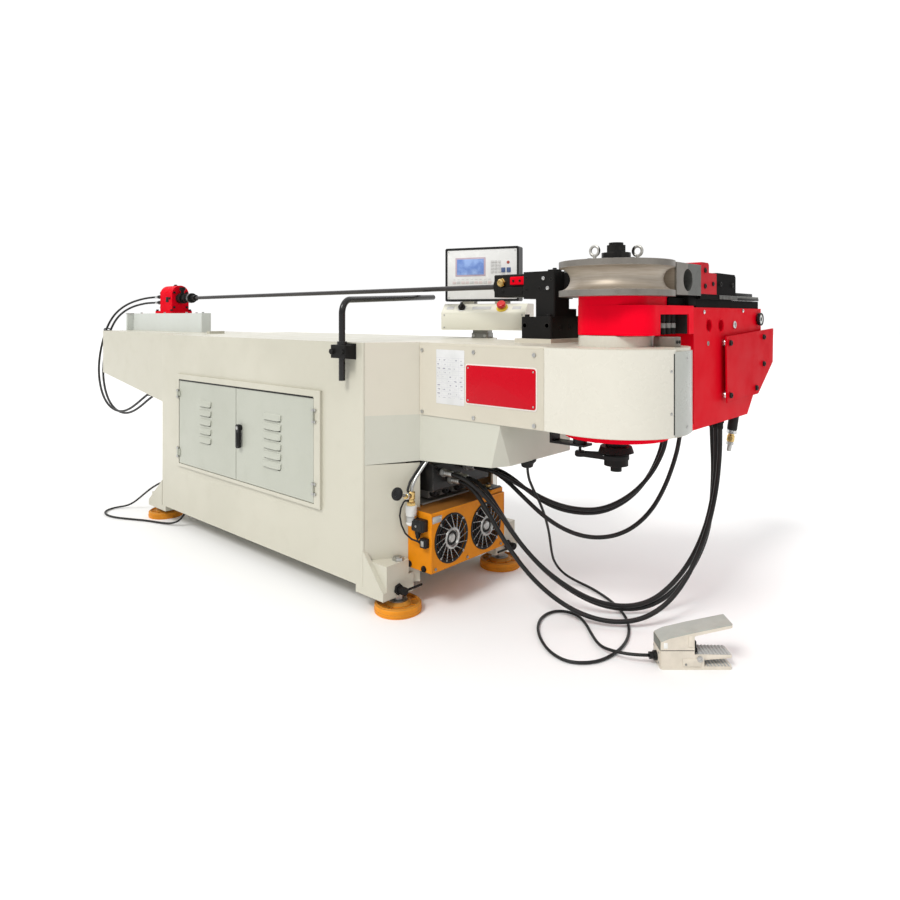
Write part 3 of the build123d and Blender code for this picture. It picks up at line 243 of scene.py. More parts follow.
def plastic(name, colour, rough=0.45, grain=900, var=0.06, bump=0.00008, coat=0.0, dust=0.12, spec=0.4):
    g = Graph(name, rough, 0.0, spec, coat)
    fine = g.noise(grain, 2, 0.5)
    mid = g.noise(22, 4, 0.6)
    col = g.mix(g.range(mid, 0.3, 0.7), scaled(colour, 1 - var), scaled(colour, 1 + var))
    lum = max(colour[:3])
    dusty = (colour[0] + 0.10, colour[1] + 0.095, colour[2] + 0.085, 1.0) if lum < 0.2 else scaled(colour, 0.7, (1, 0.97, 0.9))
    col = g.mix(g.math("MULTIPLY", g.range(g.noise(9, 5, 0.65), 0.5, 0.8), dust), col, dusty)
    r = g.math("ADD", g.math("MULTIPLY", mid, 0.18), rough - 0.09)
    return g.done(col, r, g.bump(fine, bump, 0.6))


def rubber_hose(name, colour, wraps=170.0, lay=5.0, rough=0.42):
    """Cloth-wrapped rubber: slanted wrap lines along the hose, a faint lay line, dust."""
    g = Graph(name, rough, 0.0, 0.34)
    u = g.xyz(g.uv)
    turn = g.math("ADD", g.math("MULTIPLY", u[1], wraps), g.math("MULTIPLY", u[0], lay))
    saw = g.math("FRACT", turn)
    ridge = g.math("ABSOLUTE", g.math("SUBTRACT", saw, 0.5))
    weave = g.noise(1600, 2, 0.5)
    dust = g.noise(16, 5, 0.66)
    col = g.mix(g.math("MULTIPLY", g.range(dust, 0.48, 0.78), 0.35), colour, (0.040, 0.038, 0.035, 1))
    col = g.mix(g.math("MULTIPLY", g.range(ridge, 0.36, 0.5), 0.3), col, scaled(colour, 0.4))
    r = g.math("ADD", g.math("MULTIPLY", dust, 0.30), rough - 0.14)
    n = g.bump(ridge, 0.0005, 0.35)
    n = g.bump(weave, 0.0002, 0.35, n)
    return g.done(col, r, n)


IVORY = (0.535, 0.516, 0.430, 1)


def dusty(name, colour, dirt, rough=0.42, var=0.08, grime=0.3, edge=0.5, edge_colour=None):
    """Enamel that carries settled dirt on the faces that look up."""
    g = Graph(name, rough, 0.0, 0.18)
    big, mid, fine = g.noise(6, 4, 0.6), g.noise(26, 5, 0.66), g.noise(240, 2, 0.5)
    col = g.mix(g.range(big, 0.32, 0.68), scaled(colour, 1 - var), scaled(colour, 1 + var * 0.5))
    col = g.mix(g.math("MULTIPLY", g.range(mid, 0.50, 0.74), grime), col, scaled(dirt, 1.15))
    geo = g.t.nodes.new("ShaderNodeNewGeometry")
    up = g.range(g.xyz(geo.outputs["Normal"])[2], 0.45, 0.9)
    col = g.mix(g.math("MULTIPLY", up, g.range(mid, 0.15, 0.5, 0.62, 0.95)), col, dirt)
    e = g.math("MULTIPLY", g.edges(0.003), g.range(g.noise(44, 4, 0.65), 0.40, 0.60))
    col = g.mix(g.math("MULTIPLY", e, edge), col, edge_colour or scaled(colour, 0.45))
    r = g.math("ADD", g.math("MULTIPLY", mid, 0.25), rough - 0.08)
    return g.done(col, r, g.bump(g.noise(60, 4, 0.6), 0.0004, 0.4, g.bump(fine, 0.00012, 0.5)))


def two_tone(name, low, high, z, rough=0.45):
    """Dark body above a height, lighter housings below it."""
    g = Graph(name, rough, 0.0, 0.45)
    mid = g.noise(30, 5, 0.65)
    h = g.xyz()[2]
    col = g.mix(g.range(h, z - 0.0006, z + 0.0006), low, high)
    col = g.mix(g.math("MULTIPLY", g.range(mid, 0.45, 0.75), 0.5), col, (0.05, 0.043, 0.034, 1))
    e = g.math("MULTIPLY", g.edges(0.003), g.range(g.noise(50, 4, 0.6), 0.4, 0.6))
    col = g.mix(g.math("MULTIPLY", e, 0.5), col, (0.30, 0.29, 0.27, 1))
    return g.done(col, g.math("ADD", g.math("MULTIPLY", mid, 0.3), rough - 0.12), g.bump(g.noise(180, 3, 0.6), 0.0003, 0.4))


def banded(name, low, high, z):
    """Enamel that is paler above a height: a second paint colour on the rear beam, and painted light on the bed, whose
    side above the height is painted as lit and the parts below as shaded.
    """
    g = Graph(name, 0.36, 0.0, 0.4, 0.08, 0.18)
    big, mid = g.noise(1.7, 3, 0.55), g.noise(11, 4, 0.6)
    col = g.mix(g.range(g.xyz()[2], z - 0.0005, z + 0.0005), low, high)
    col = g.mix(g.math("MULTIPLY", g.range(big, 0.34, 0.66), 0.10), col, scaled(low, 0.80))
    col = g.mix(g.math("MULTIPLY", g.range(mid, 0.52, 0.78), 0.07), col, scaled(low, 0.62, (1.0, 0.97, 0.90)))
    col = g.mix(g.math("MULTIPLY", g.range(g.noise(95, 5, 0.7), 0.68, 0.76), 0.10), col, scaled(low, 0.42))
    e = g.math("MULTIPLY", g.edges(0.004), g.range(g.noise(38, 4, 0.65), 0.42, 0.62))
    col = g.mix(g.math("MULTIPLY", e, 0.22), col, scaled(low, 0.55, (1.0, 0.96, 0.88)))
    n = g.bump(g.noise(260, 2, 0.5), 0.00012, 0.55)
    return g.done(col, g.math("ADD", g.math("MULTIPLY", g.range(mid, 0.3, 0.75), 0.16), 0.29), g.bump(g.noise(34, 2, 0.4), 0.0006, 0.35, n))


def die_steel(name):
    """Turned die: fine rings on its flats, and a groove worn bright with long streaks along it."""
    g = Graph(name, 0.40, 0.75, 0.5)
    c = g.xyz()
    x, y = g.math("SUBTRACT", c[0], OX), g.math("SUBTRACT", c[1], OY)
    r = g.math("SQRT", g.math("ADD", g.math("MULTIPLY", x, x), g.math("MULTIPLY", y, y)))
    turn = g.math("ARCTAN2", y, x)
    def vec(a, b, d):
        n = g.t.nodes.new("ShaderNodeCombineXYZ")
        for k, v in enumerate((a, b, d)):
            g.put(n.inputs[k], v)
        return n.outputs[0]
    groove = g.math("MULTIPLY", g.range(r, 0.1865, 0.1890, 1.0, 0.0), g.math("MULTIPLY", g.range(c[2], 1.1745, 1.1775), g.range(c[2], 1.2665, 1.2695, 1.0, 0.0)))
    groove = g.math("MULTIPLY", groove, g.range(r, 0.140, 0.146))
    streak = g.noise(1.0, 4, 0.62, vec(g.math("MULTIPLY", turn, 1.6), 0.0, g.math("MULTIPLY", c[2], 260.0)))
    cloud = g.noise(9, 4, 0.6)
    stain = g.noise(46, 5, 0.66)
    flat = g.mix(g.range(cloud, 0.3, 0.7), (0.205, 0.188, 0.166, 1), (0.265, 0.246, 0.220, 1))
    flat = g.mix(g.math("MULTIPLY", g.range(stain, 0.55, 0.8), 0.55), flat, (0.130, 0.104, 0.078, 1))
    bright = g.mix(g.range(streak, 0.30, 0.70), (0.395, 0.338, 0.272, 1), (0.490, 0.436, 0.368, 1))
    bright = g.mix(g.math("MULTIPLY", g.range(cloud, 0.48, 0.74), 0.45), bright, (0.300, 0.242, 0.182, 1))
    col = g.mix(groove, flat, bright)
    e = g.math("MULTIPLY", g.edges(0.003), g.range(g.noise(60, 4, 0.6), 0.34, 0.6))
    col = g.mix(g.math("MULTIPLY", e, 0.8), col, (0.50, 0.475, 0.44, 1))
    rings = g.noise(1.0, 3, 0.6, vec(g.math("MULTIPLY", r, 900.0), 0.0, g.math("MULTIPLY", c[2], 420.0)))
    rough = g.math("ADD", g.math("MULTIPLY", rings, 0.22), g.math("ADD", g.math("MULTIPLY", streak, 0.12), g.math("ADD", g.math("MULTIPLY", groove, 0.10), 0.25)))
    return g.done(col, rough, g.bump(rings, 0.00012, 0.4))


def nut_steel(name):
    """Black nut and washer in the middle, plated lifting eyes further out."""
    g = Graph(name, 0.36, 0.55, 0.4)
    c = g.xyz()
    x, y = g.math("SUBTRACT", c[0], OX), g.math("SUBTRACT", c[1], OY)
    r = g.math("SQRT", g.math("ADD", g.math("MULTIPLY", x, x), g.math("MULTIPLY", y, y)))
    cloud, fine = g.noise(40, 4, 0.6), g.noise(300, 3, 0.6)
    dark = g.mix(g.range(cloud, 0.35, 0.7), (0.011, 0.0105, 0.010, 1), (0.024, 0.022, 0.020, 1))
    pale = g.mix(g.range(cloud, 0.35, 0.7), (0.62, 0.615, 0.59, 1), (0.40, 0.385, 0.35, 1))
    col = g.mix(g.range(r, 0.0620, 0.0640), dark, pale)
    e = g.math("MULTIPLY", g.edges(0.003), g.range(cloud, 0.36, 0.6))
    col = g.mix(g.math("MULTIPLY", e, 0.35), col, (0.20, 0.195, 0.185, 1))
    return g.done(col, g.math("ADD", g.math("MULTIPLY", fine, 0.2), 0.26), g.bump(fine, 0.0001, 0.35))


def hub_red(name):
    """Signal red: the hub is painted a brighter red than the arm's long body, as painted light where the light falls on
    the hub.
    """
    g = Graph(name, 0.46, 0.0, 0.03)
    c = g.xyz()
    big, mid, speck = g.noise(2.2, 3, 0.55), g.noise(11, 4, 0.6), g.noise(95, 5, 0.7)
    # painted light: within this distance from the axis the hub side gets the brighter red
    hub = g.range(g.math("SUBTRACT", c[1], OY), 0.262, 0.270, 1.0, 0.0)
    col = g.mix(hub, (0.690, 0.0010, 0.0115, 1), (0.900, 0.0010, 0.0190, 1))
    col = g.mix(g.math("MULTIPLY", g.range(big, 0.34, 0.66), 0.22), col, (0.56, 0.0010, 0.0095, 1))
    col = g.mix(g.math("MULTIPLY", g.range(mid, 0.52, 0.78), 0.12), col, (0.40, 0.0015, 0.0085, 1))
    col = g.mix(g.math("MULTIPLY", g.range(speck, 0.68, 0.76), 0.20), col, (0.25, 0.002, 0.006, 1))
    e = g.math("MULTIPLY", g.edges(0.004), g.range(g.noise(38, 4, 0.65), 0.42, 0.62))
    col = g.mix(g.math("MULTIPLY", e, 0.42), col, (0.20, 0.004, 0.008, 1))
    n = g.bump(g.noise(260, 2, 0.5), 0.00012, 0.55)
    return g.done(col, g.math("ADD", g.math("MULTIPLY", g.range(mid, 0.3, 0.75), 0.16), 0.39), g.bump(g.noise(34, 2, 0.4), 0.0006, 0.35, n))


def chart(name, x0, w, z0, h):
    """Plain grid of a setting table, with short grey strokes in its cells."""
    g = Graph(name, 0.34, 0.0, 0.4)
    c = g.xyz()
    u = g.math("DIVIDE", g.math("SUBTRACT", c[0], x0), w)
    v = g.math("DIVIDE", g.math("SUBTRACT", c[2], z0), h)
    fu, fv = g.math("FRACT", g.math("MULTIPLY", u, 5.0)), g.math("FRACT", g.math("MULTIPLY", v, 13.0))
    line = g.math("MAXIMUM", g.math("LESS_THAN", fu, 0.035), g.math("LESS_THAN", fv, 0.07))
    inside = g.math("MULTIPLY", g.math("GREATER_THAN", v, 0.12), g.math("LESS_THAN", v, 0.86))
    line = g.math("MULTIPLY", line, inside)
    stroke = g.math("MULTIPLY", g.math("GREATER_THAN", fv, 0.36), g.math("LESS_THAN", fv, 0.66))
    stroke = g.math("MULTIPLY", stroke, g.math("MULTIPLY", g.math("GREATER_THAN", fu, 0.2), g.math("LESS_THAN", fu, 0.72)))
    pick = g.range(g.noise(70, 2, 0.5, g.map(g.obj, (1.0, 0.0, 1.6))), 0.50, 0.56)
    stroke = g.math("MULTIPLY", g.math("MULTIPLY", stroke, pick), inside)
    tone = g.noise(14, 3, 0.6)
    col = g.mix(g.range(tone, 0.3, 0.7), (0.60, 0.605, 0.60, 1), (0.665, 0.665, 0.665, 1))
    col = g.mix(g.math("MULTIPLY", line, 0.45), col, (0.38, 0.37, 0.44, 1))
    col = g.mix(g.math("MULTIPLY", stroke, 0.75), col, (0.20, 0.19, 0.26, 1))
    return g.done(col, g.math("ADD", g.math("MULTIPLY", tone, 0.12), 0.28), g.bump(g.noise(320, 2, 0.5), 0.00006, 0.4))


def screen(name):
    """Liquid crystal display: cool blue, lighter in patches, with fine rows."""
    g = Graph(name, 0.16, 0.0, 0.5, 0.3, 0.05)
    big = g.noise(24, 3, 0.6)
    rows = g.wave(150, g.map(g.obj, (1, 1, 1)), "Z")
    col = g.mix(g.range(big, 0.32, 0.68), (0.135, 0.235, 0.56, 1), (0.29, 0.43, 0.76, 1))
    col = g.mix(g.math("MULTIPLY", g.range(rows, 0.6, 1.0), 0.14), col, (0.10, 0.18, 0.46, 1))
    return g.done(col, g.math("ADD", g.math("MULTIPLY", big, 0.08), 0.12))


M = {}
M["ivory"] = paint("ivory_enamel", IVORY, rough=0.36, grime=0.07, edge=0.22, coat=0.08, spec=0.4)
# painted light and shade: the bed's side above 0.7255 m is painted paler as lit, and the parts below darker and greener
# as shaded
M["bed"] = banded("bed_enamel", (0.540, 0.536, 0.460, 1), (0.620, 0.582, 0.488, 1), 0.7255)
M["beam"] = banded("beam_enamel", IVORY, (0.615, 0.645, 0.615, 1), 1.0005)
M["nose"] = paint("nose_enamel", (0.655, 0.632, 0.556, 1), rough=0.28, var=0.03, grime=0.04, edge=0.18, coat=0.2, spec=0.4)
# painted shade: a darker grey than the nose's paint, for the end of the nose turned from the light
M["nose_edge"] = paint("nose_edge_enamel", (0.425, 0.438, 0.405, 1), rough=0.32, var=0.06, grime=0.12, edge=0.3, coat=0.1, spec=0.4)
M["door"] = paint("door_enamel", (0.435, 0.447, 0.385, 1), rough=0.38, grime=0.08, edge=0.22, coat=0.08, spec=0.4)
M["panel"] = paint("panel_enamel", (0.565, 0.528, 0.438, 1), rough=0.36, grime=0.06, edge=0.25, coat=0.08, spec=0.4)
M["plinth"] = paint("console_enamel", (0.780, 0.762, 0.655, 1), rough=0.38, grime=0.05, edge=0.2, coat=0.05, spec=0.4)
M["red"] = paint("signal_red", (0.70, 0.0010, 0.0120, 1), rough=0.46, var=0.06, grime=0.10, edge=0.40, edge_colour=(0.20, 0.004, 0.008, 1), coat=0.0, spec=0.03)
M["arm_red"] = hub_red("arm_red")
M["clamp_red"] = paint("clamp_red", (0.50, 0.0060, 0.0150, 1), rough=0.44, var=0.08, grime=0.16, edge=0.45, edge_colour=(0.14, 0.006, 0.008, 1), coat=0.0, spec=0.06)
M["red_cover"] = paint("cover_red", (0.60, 0.0010, 0.0105, 1), rough=0.46, var=0.06, grime=0.12, edge=0.45, edge_colour=(0.15, 0.004, 0.008, 1), coat=0.0, spec=0.03)
M["red_label"] = paint("plate_red", (0.52, 0.0022, 0.0120, 1), rough=0.30, var=0.04, grime=0.04, edge=0.2, coat=0.04, spec=0.12, peel=0.00004)
M["label_pale"] = paint("plate_border", (0.72, 0.67, 0.63, 1), rough=0.30, var=0.03, grime=0.04, edge=0.15, coat=0.1, spec=0.35, peel=0.00004)
M["die"] = die_steel("die_steel")
M["nut"] = nut_steel("nut_steel")
M["orange"] = dusty("cooler_orange", (0.72, 0.240, 0.004, 1), (0.235, 0.098, 0.022, 1), rough=0.42, var=0.08, grime=0.16, edge=0.45, edge_colour=(0.26, 0.10, 0.02, 1))
M["foot"] = dusty("foot_orange", (0.72, 0.262, 0.016, 1), (0.47, 0.215, 0.036, 1), rough=0.48, var=0.16, grime=0.5, edge=0.6, edge_colour=(0.17, 0.07, 0.02, 1))
M["black_oxide"] = metal("black_oxide", (0.011, 0.0105, 0.010, 1), rough=0.48, scratch=(1, 6, 1), strength=0.3, stain=(0.020, 0.018, 0.016, 1), edge=(0.050, 0.047, 0.044, 1), metallic=0.0, spec=0.13)
M["slide_black"] = metal("slide_black", (0.008, 0.0076, 0.0074, 1), rough=0.62, scratch=(1, 8, 1), strength=0.3, stain=(0.016, 0.014, 0.013, 1), edge=(0.040, 0.038, 0.036, 1), metallic=0.0, spec=0.02)
M["gloss_black"] = metal("gloss_black", (0.012, 0.0115, 0.0115, 1), rough=0.26, scratch=(1, 1, 6), strength=0.2, stain=(0.022, 0.020, 0.019, 1), edge=(0.10, 0.098, 0.095, 1), metallic=0.0, spec=0.36)
M["tool_steel"] = metal("tool_steel", (0.235, 0.216, 0.192, 1), rough=0.42, scratch=(1, 1, 14), strength=0.5, stain=(0.145, 0.118, 0.090, 1), edge=(0.46, 0.44, 0.41, 1), metallic=0.8)
M["grey_steel"] = metal("grey_steel", (0.150, 0.152, 0.142, 1), rough=0.46, scratch=(10, 1, 1), strength=0.45, stain=(0.095, 0.088, 0.076, 1), edge=(0.40, 0.39, 0.37, 1), metallic=0.7)
M["bright"] = metal("bright_steel", (0.60, 0.60, 0.595, 1), rough=0.24, scratch=(1, 18, 18), strength=0.25, stain=(0.36, 0.35, 0.33, 1))
M["rod"] = metal("ground_rod", (0.060, 0.056, 0.057, 1), rough=0.34, scratch=(1, 30, 30), strength=0.3, stain=(0.034, 0.031, 0.030, 1), metallic=0.5, spec=0.4)
M["zinc"] = metal("zinc_plate", (0.47, 0.47, 0.455, 1), rough=0.36, scratch=(1, 1, 1), strength=0.3, stain=(0.33, 0.31, 0.27, 1), grain=160, edge=(0.68, 0.68, 0.66, 1))
M["dull_zinc"] = metal("dull_zinc", (0.27, 0.27, 0.255, 1), rough=0.46, scratch=(1, 1, 1), strength=0.35, stain=(0.17, 0.155, 0.13, 1), grain=160, metallic=0.6)
M["brass"] = metal("brass", (0.66, 0.46, 0.18, 1), rough=0.26, scratch=(1, 1, 8), strength=0.3, stain=(0.36, 0.22, 0.08, 1), edge=(0.86, 0.68, 0.36, 1))
M["bronze"] = metal("bronze", (0.45, 0.26, 0.11, 1), rough=0.34, scratch=(1, 1, 8), strength=0.3)
M["iron"] = paint("motor_grey", (0.16, 0.19, 0.21, 1), rough=0.45, grime=0.2, edge=0.3, peel=0.0006)
M["tank"] = paint("tank_grey", (0.36, 0.38, 0.37, 1), rough=0.42, grime=0.15, edge=0.3)
M["guard_grey"] = dusty("guard_grey", (0.40, 0.395, 0.375, 1), (0.30, 0.285, 0.255, 1), rough=0.44, grime=0.35, edge=0.3)
M["valve"] = two_tone("valve_iron", (0.20, 0.195, 0.185, 1), (0.014, 0.0135, 0.013, 1), 0.4255)
M["stop_steel"] = metal("stop_steel", (0.205, 0.180, 0.155, 1), rough=0.44, scratch=(1, 12, 1), strength=0.5, stain=(0.12, 0.088, 0.062, 1), edge=(0.42, 0.39, 0.35, 1), metallic=0.6)
M["hose"] = rubber_hose("hose_rubber", (0.0085, 0.0085, 0.0085, 1))
M["cable"] = rubber_hose("cable_rubber", (0.0095, 0.0095, 0.0095, 1), wraps=0.0, lay=0.0, rough=0.48)
M["belt"] = plastic("belt_rubber", (0.010, 0.010, 0.010, 1), rough=0.6, spec=0.24)
M["black_plastic"] = plastic("black_plastic", (0.010, 0.010, 0.0105, 1), rough=0.42, dust=0.10, spec=0.24)
M["rubber"] = plastic("moulded_rubber", (0.010, 0.010, 0.010, 1), rough=0.55, grain=700, bump=0.00015, dust=0.14, spec=0.24)
M["case"] = plastic("case_black", (0.013, 0.013, 0.0135, 1), rough=0.38, dust=0.06, spec=0.24)
M["pedal"] = plastic("pedal_cast", (0.635, 0.580, 0.490, 1), rough=0.40, grain=500, bump=0.0002, dust=0.22)
M["pedal_grey"] = plastic("pedal_top_grey", (0.370, 0.385, 0.350, 1), rough=0.40, grain=500, bump=0.0002, dust=0.22)
M["pedal_edge"] = plastic("pedal_end_grey", (0.155, 0.165, 0.140, 1), rough=0.45, grain=500, bump=0.0002, dust=0.25)
M["tread"] = plastic("tread_grey", (0.400, 0.405, 0.400, 1), rough=0.5, grain=350, bump=0.0003, dust=0.22)
M["button_red"] = plastic("button_red", (0.62, 0.010, 0.008, 1), rough=0.25, grain=700, coat=0.4, dust=0.06)
M["yellow"] = plastic("button_yellow", (0.78, 0.55, 0.03, 1), rough=0.35, dust=0.08)
M["white_plastic"] = plastic("white_plastic", (0.74, 0.74, 0.715, 1), rough=0.34, dust=0.06)
M["face"] = plastic("face_film", (0.735, 0.735, 0.720, 1), rough=0.26, grain=1400, bump=0.00003, var=0.02, dust=0.04)
M["lcd"] = screen("lcd_blue")
M["lcd_border"] = plastic("lcd_border", (0.46, 0.36, 0.42, 1), rough=0.30, grain=1200, bump=0.00003, dust=0.05)
M["key_grey"] = plastic("key_grey", (0.56, 0.555, 0.545, 1), rough=0.40, dust=0.06)
M["key_pink"] = plastic("key_pale", (0.66, 0.575, 0.560, 1), rough=0.40, dust=0.06)
M["key_blue"] = plastic("key_blue", (0.070, 0.110, 0.235, 1), rough=0.36, dust=0.06)
M["key_red"] = plastic("key_red", (0.36, 0.075, 0.055, 1), rough=0.36, dust=0.06)
M["chart"] = chart("setting_chart", OX - 0.616, 0.138, 0.776, 0.200)
# near-black for joint lines, and painted shade in holes, slots and recesses
M["dark"] = plastic("dark_joints_and_painted_shade", (0.008, 0.008, 0.008, 1), rough=0.7)


# ================================================================ building pieces
class Kit:
    """One piece made of several closed solids, each with its own finish. Sizes in mm in the given frame."""

    def __init__(self, name, frame_matrix=AXIS):
        self.name, self.f, self.bm, self.mats = name, frame_matrix, bmesh.new(), []
        self.bm.loops.layers.uv.new("UVMap")

    def _add(self, bm, mat, smooth=True):
        if mat not in self.mats:
            self.mats.append(mat)
        i = self.mats.index(mat)
        for f in bm.faces:
            f.material_index, f.smooth = i, smooth
        bmesh.ops.recalc_face_normals(bm, faces=bm.faces)
        me = bpy.data.meshes.new("part")
        bm.to_mesh(me)
        bm.free()
        self.bm.from_mesh(me)
        bpy.data.meshes.remove(me)

    def box(self, x0, x1, y0, y1, z0, z1, mat, bevel=1.5, segs=2, turn=None):
        bm = bmesh.new()
        m = Matrix.Translation(((x0 + x1) / 2, (y0 + y1) / 2, (z0 + z1) / 2))
        if turn is not None:
            m = m @ turn
        bmesh.ops.create_cube(bm, size=1.0, matrix=m @ Matrix.Diagonal((x1 - x0, y1 - y0, z1 - z0, 1)))
        if bevel:
            bmesh.ops.bevel(bm, geom=bm.edges[:], offset=bevel, segments=segs, profile=0.5, affect="EDGES")
        self._add(bm, mat)
        return self

    def prism(self, axis, a, b, pts, mat, bevel=1.0, segs=2):
        """Outline pts in the other two axes, from a to b along axis."""
        bm = bmesh.new()

        def at(p, h):
            return {"x": (h, p[0], p[1]), "y": (p[0], h, p[1]), "z": (p[0], p[1], h)}[axis]

        lo = [bm.verts.new(at(p, a)) for p in pts]
        hi = [bm.verts.new(at(p, b)) for p in pts]
        n = len(pts)
        bm.faces.new(lo)
        bm.faces.new(hi[::-1])
        for i in range(n):
            bm.faces.new((lo[i], hi[i], hi[(i + 1) % n], lo[(i + 1) % n]))
        bmesh.ops.recalc_face_normals(bm, faces=bm.faces)
        if bevel:
            rim = [e for e in bm.edges if (e.verts[0] in lo) == (e.verts[1] in lo)]
            bmesh.ops.bevel(bm, geom=rim, offset=bevel, segments=segs, profile=0.5, affect="EDGES")
        self._add(bm, mat)
        return self

    def lathe(self, at, along, profile, mat, n=32, loop=False):
        """Profile of (radius, height) pairs turned about the line from at towards along. A loop closes on itself as a ring."""
        at, z = Vector(at), Vector(along).normalized()
        x = z.orthogonal().normalized()
        y = z.cross(x)
        bm = bmesh.new()
        rings = []
        for r, h in profile:
            if r < 1e-6:
                rings.append([bm.verts.new(at + z * h)])
            else:
                rings.append([bm.verts.new(at + z * h + (x * math.cos(2 * math.pi * (i + 0.5) / n) + y * math.sin(2 * math.pi * (i + 0.5) / n)) * r) for i in range(n)])
        for a, b in zip(rings if loop else rings[:-1], rings[1:] + rings[:1]):
            for i in range(n):
                j = (i + 1) % n
                if len(a) == 1 and len(b) > 1:
                    bm.faces.new((a[0], b[i], b[j]))
                elif len(b) == 1 and len(a) > 1:
                    bm.faces.new((a[i], b[0], a[j]))
                elif len(a) > 1:
                    bm.faces.new((a[i], b[i], b[j], a[j]))
        for ring in () if loop else (rings[0], rings[-1]):
            if len(ring) > 1:
                bm.faces.new(ring)
        self._add(bm, mat)
        return self

    def rod(self, a, b, r, mat, n=28, bevel=1.0):
        h = (Vector(b) - Vector(a)).length
        c = min(bevel, r * 0.4, h * 0.4)
        return self.lathe(a, Vector(b) - Vector(a), [(0, 0), (r - c, 0), (r, c), (r, h - c), (r - c, h), (0, h)], mat, n)

    def hex(self, at, along, flats, h, mat, bore=0.0):
        r = flats / math.sqrt(3)
        c = min(h * 0.22, flats * 0.07)
        top = [(r * 0.93, h)] + ([(bore, h), (bore, h * 0.45), (0, h * 0.45)] if bore else [(0, h)])
        return self.lathe(at, along, [(0, 0), (r, 0), (r, h - c)] + top, mat, 6)

    def screw(self, at, along, r, h, mat):
        """Socket head cap screw."""
        return self.lathe(at, along, [(0, 0), (r, 0), (r, h * 0.88), (r * 0.9, h), (r * 0.55, h), (r * 0.5, h * 0.95), (r * 0.5, h * 0.35), (0, h * 0.3)], mat, 24)

    def ring(self, at, along, big, small, mat, n=48, m=10):
        at, z = Vector(at), Vector(along).normalized()
        x = z.orthogonal().normalized()
        y = z.cross(x)
        bm = bmesh.new()
        rows = []
        for i in range(n):
            a = 2 * math.pi * i / n
            d = x * math.cos(a) + y * math.sin(a)
            rows.append([bm.verts.new(at + d * (big + small * math.cos(2 * math.pi * k / m)) + z * small * math.sin(2 * math.pi * k / m)) for k in range(m)])
        for i in range(n):
            for k in range(m):
                bm.faces.new((rows[i][k], rows[(i + 1) % n][k], rows[(i + 1) % n][(k + 1) % m], rows[i][(k + 1) % m]))
        self._add(bm, mat)
        return self

    def tube(self, pts, r, mat, n=14):
        bm = bmesh.new()
        sweep_into(bm, [Vector(p) for p in pts], r, n)
        self._add(bm, mat)
        return self

    def done(self, body, slot=None, sharp=38):
        bm = self.bm
        bm.transform(self.f)
        for e in bm.edges:
            if len(e.link_faces) == 2 and e.calc_face_angle(0) > math.radians(sharp):
                e.smooth = False
        me = bpy.data.meshes.new(self.name)
        bm.to_mesh(me)
        bm.free()
        for m in self.mats:
            me.materials.append(m)
        ob = bpy.data.objects.new(self.name, me)
        scene.collection.objects.link(ob)
        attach(ob, body)
        return ob


def sweep_into(bm, line, r, n):
    """A round tube along the points, with closed ends and a UV map of turns and metres."""
    uv = bm.loops.layers.uv.active or bm.loops.layers.uv.new("UVMap")
    tang = []
    for i in range(len(line)):
        a, b = line[max(i - 1, 0)], line[min(i + 1, len(line) - 1)]
        tang.append((b - a).normalized())
    x = tang[0].orthogonal().normalized()
    rows, far = [], [0.0]
    for i, p in enumerate(line):
        if i:
            far.append(far[-1] + (p - line[i - 1]).length)
            x = (x - tang[i] * x.dot(tang[i])).normalized()
        y = tang[i].cross(x)
        rows.append([bm.verts.new(p + (x * math.cos(2 * math.pi * k / n) + y * math.sin(2 * math.pi * k / n)) * r) for k in range(n)])
    for i in range(len(rows) - 1):
        for k in range(n):
            j = (k + 1) % n
            f = bm.faces.new((rows[i][k], rows[i][j], rows[i + 1][j], rows[i + 1][k]))
            f.smooth = True
            for loop, (uu, vv) in zip(f.loops, ((k / n, far[i]), ((k + 1) / n, far[i]), ((k + 1) / n, far[i + 1]), (k / n, far[i + 1]))):
                loop[uv].uv = (uu, vv)
    bm.faces.new(rows[0][::-1])
    bm.faces.new(rows[-1])


# ================================================================ hoses and cables
def spline_points(pts):
    """Points of the smooth line whose control points are the route's."""
    cu = bpy.data.curves.new("route", "CURVE")
    cu.dimensions = "3D"
    sp = cu.splines.new("NURBS")
    sp.points.add(len(pts) - 1)
    for q, p in zip(sp.points, pts):
        q.co = (*P(*p), 1.0)
    sp.order_u = 3
    sp.use_endpoint_u = True
    cu.resolution_u = 14
    ob = bpy.data.objects.new("route", cu)
    me = bpy.data.meshes.new_from_object(ob)
    line = [v.co.copy() for v in me.vertices]
    bpy.data.objects.remove(ob)
    bpy.data.curves.remove(cu)
    bpy.data.meshes.remove(me)
    return line


cp, sp_ = math.cos(math.radians(42.2)), math.sin(math.radians(42.2))
A1 = [(-640, -18, 505), (-568, -18, 505), (-497, 2, 494), (-414, 62, 436), (-338, 120, 386), (-264, 182, 361),
      (-188, 245, 363), (-112, 307, 412), (-52, 356, 489), (-16, 386, 575), (-3, 397, 640), (0, 399, 698)]
A2 = [(-640, 66, 492), (-568, 66, 492), (-496, 70, 472), (-424, 100, 414), (-352, 138, 366), (-280, 198, 341),
      (-198, 264, 344), (-122, 328, 396), (-68, 376, 478), (-36, 406, 570), (-25, 418, 640), (-23, 420, 698)]
B1 = [(-640, 24, 498), (-564, 24, 498), (-486, 30, 466), (-408, 44, 405), (-334, 70, 342), (-268, 112, 296),
      (-200, 160, 273), (-134, 216, 277), (-78, 270, 308), (-30, 322, 370), (4, 362, 455), (28, 390, 548), (42, 408, 630), (46, 413, 698)]
C1 = [(-640, -150, 500), (-576, -150, 500), (-512, -128, 468), (-454, -70, 382), (-398, -26, 272), (-322, 24, 172),
      (-240, 80, 100), (-157, 139, 52), (-76, 210, 34), (-12, 280, 50), (37, 350, 102), (78, 424, 182), (106, 490, 290),
      (120, 532, 410), (122, 556, 520), (118, 568, 615), (114, 572, 698)]
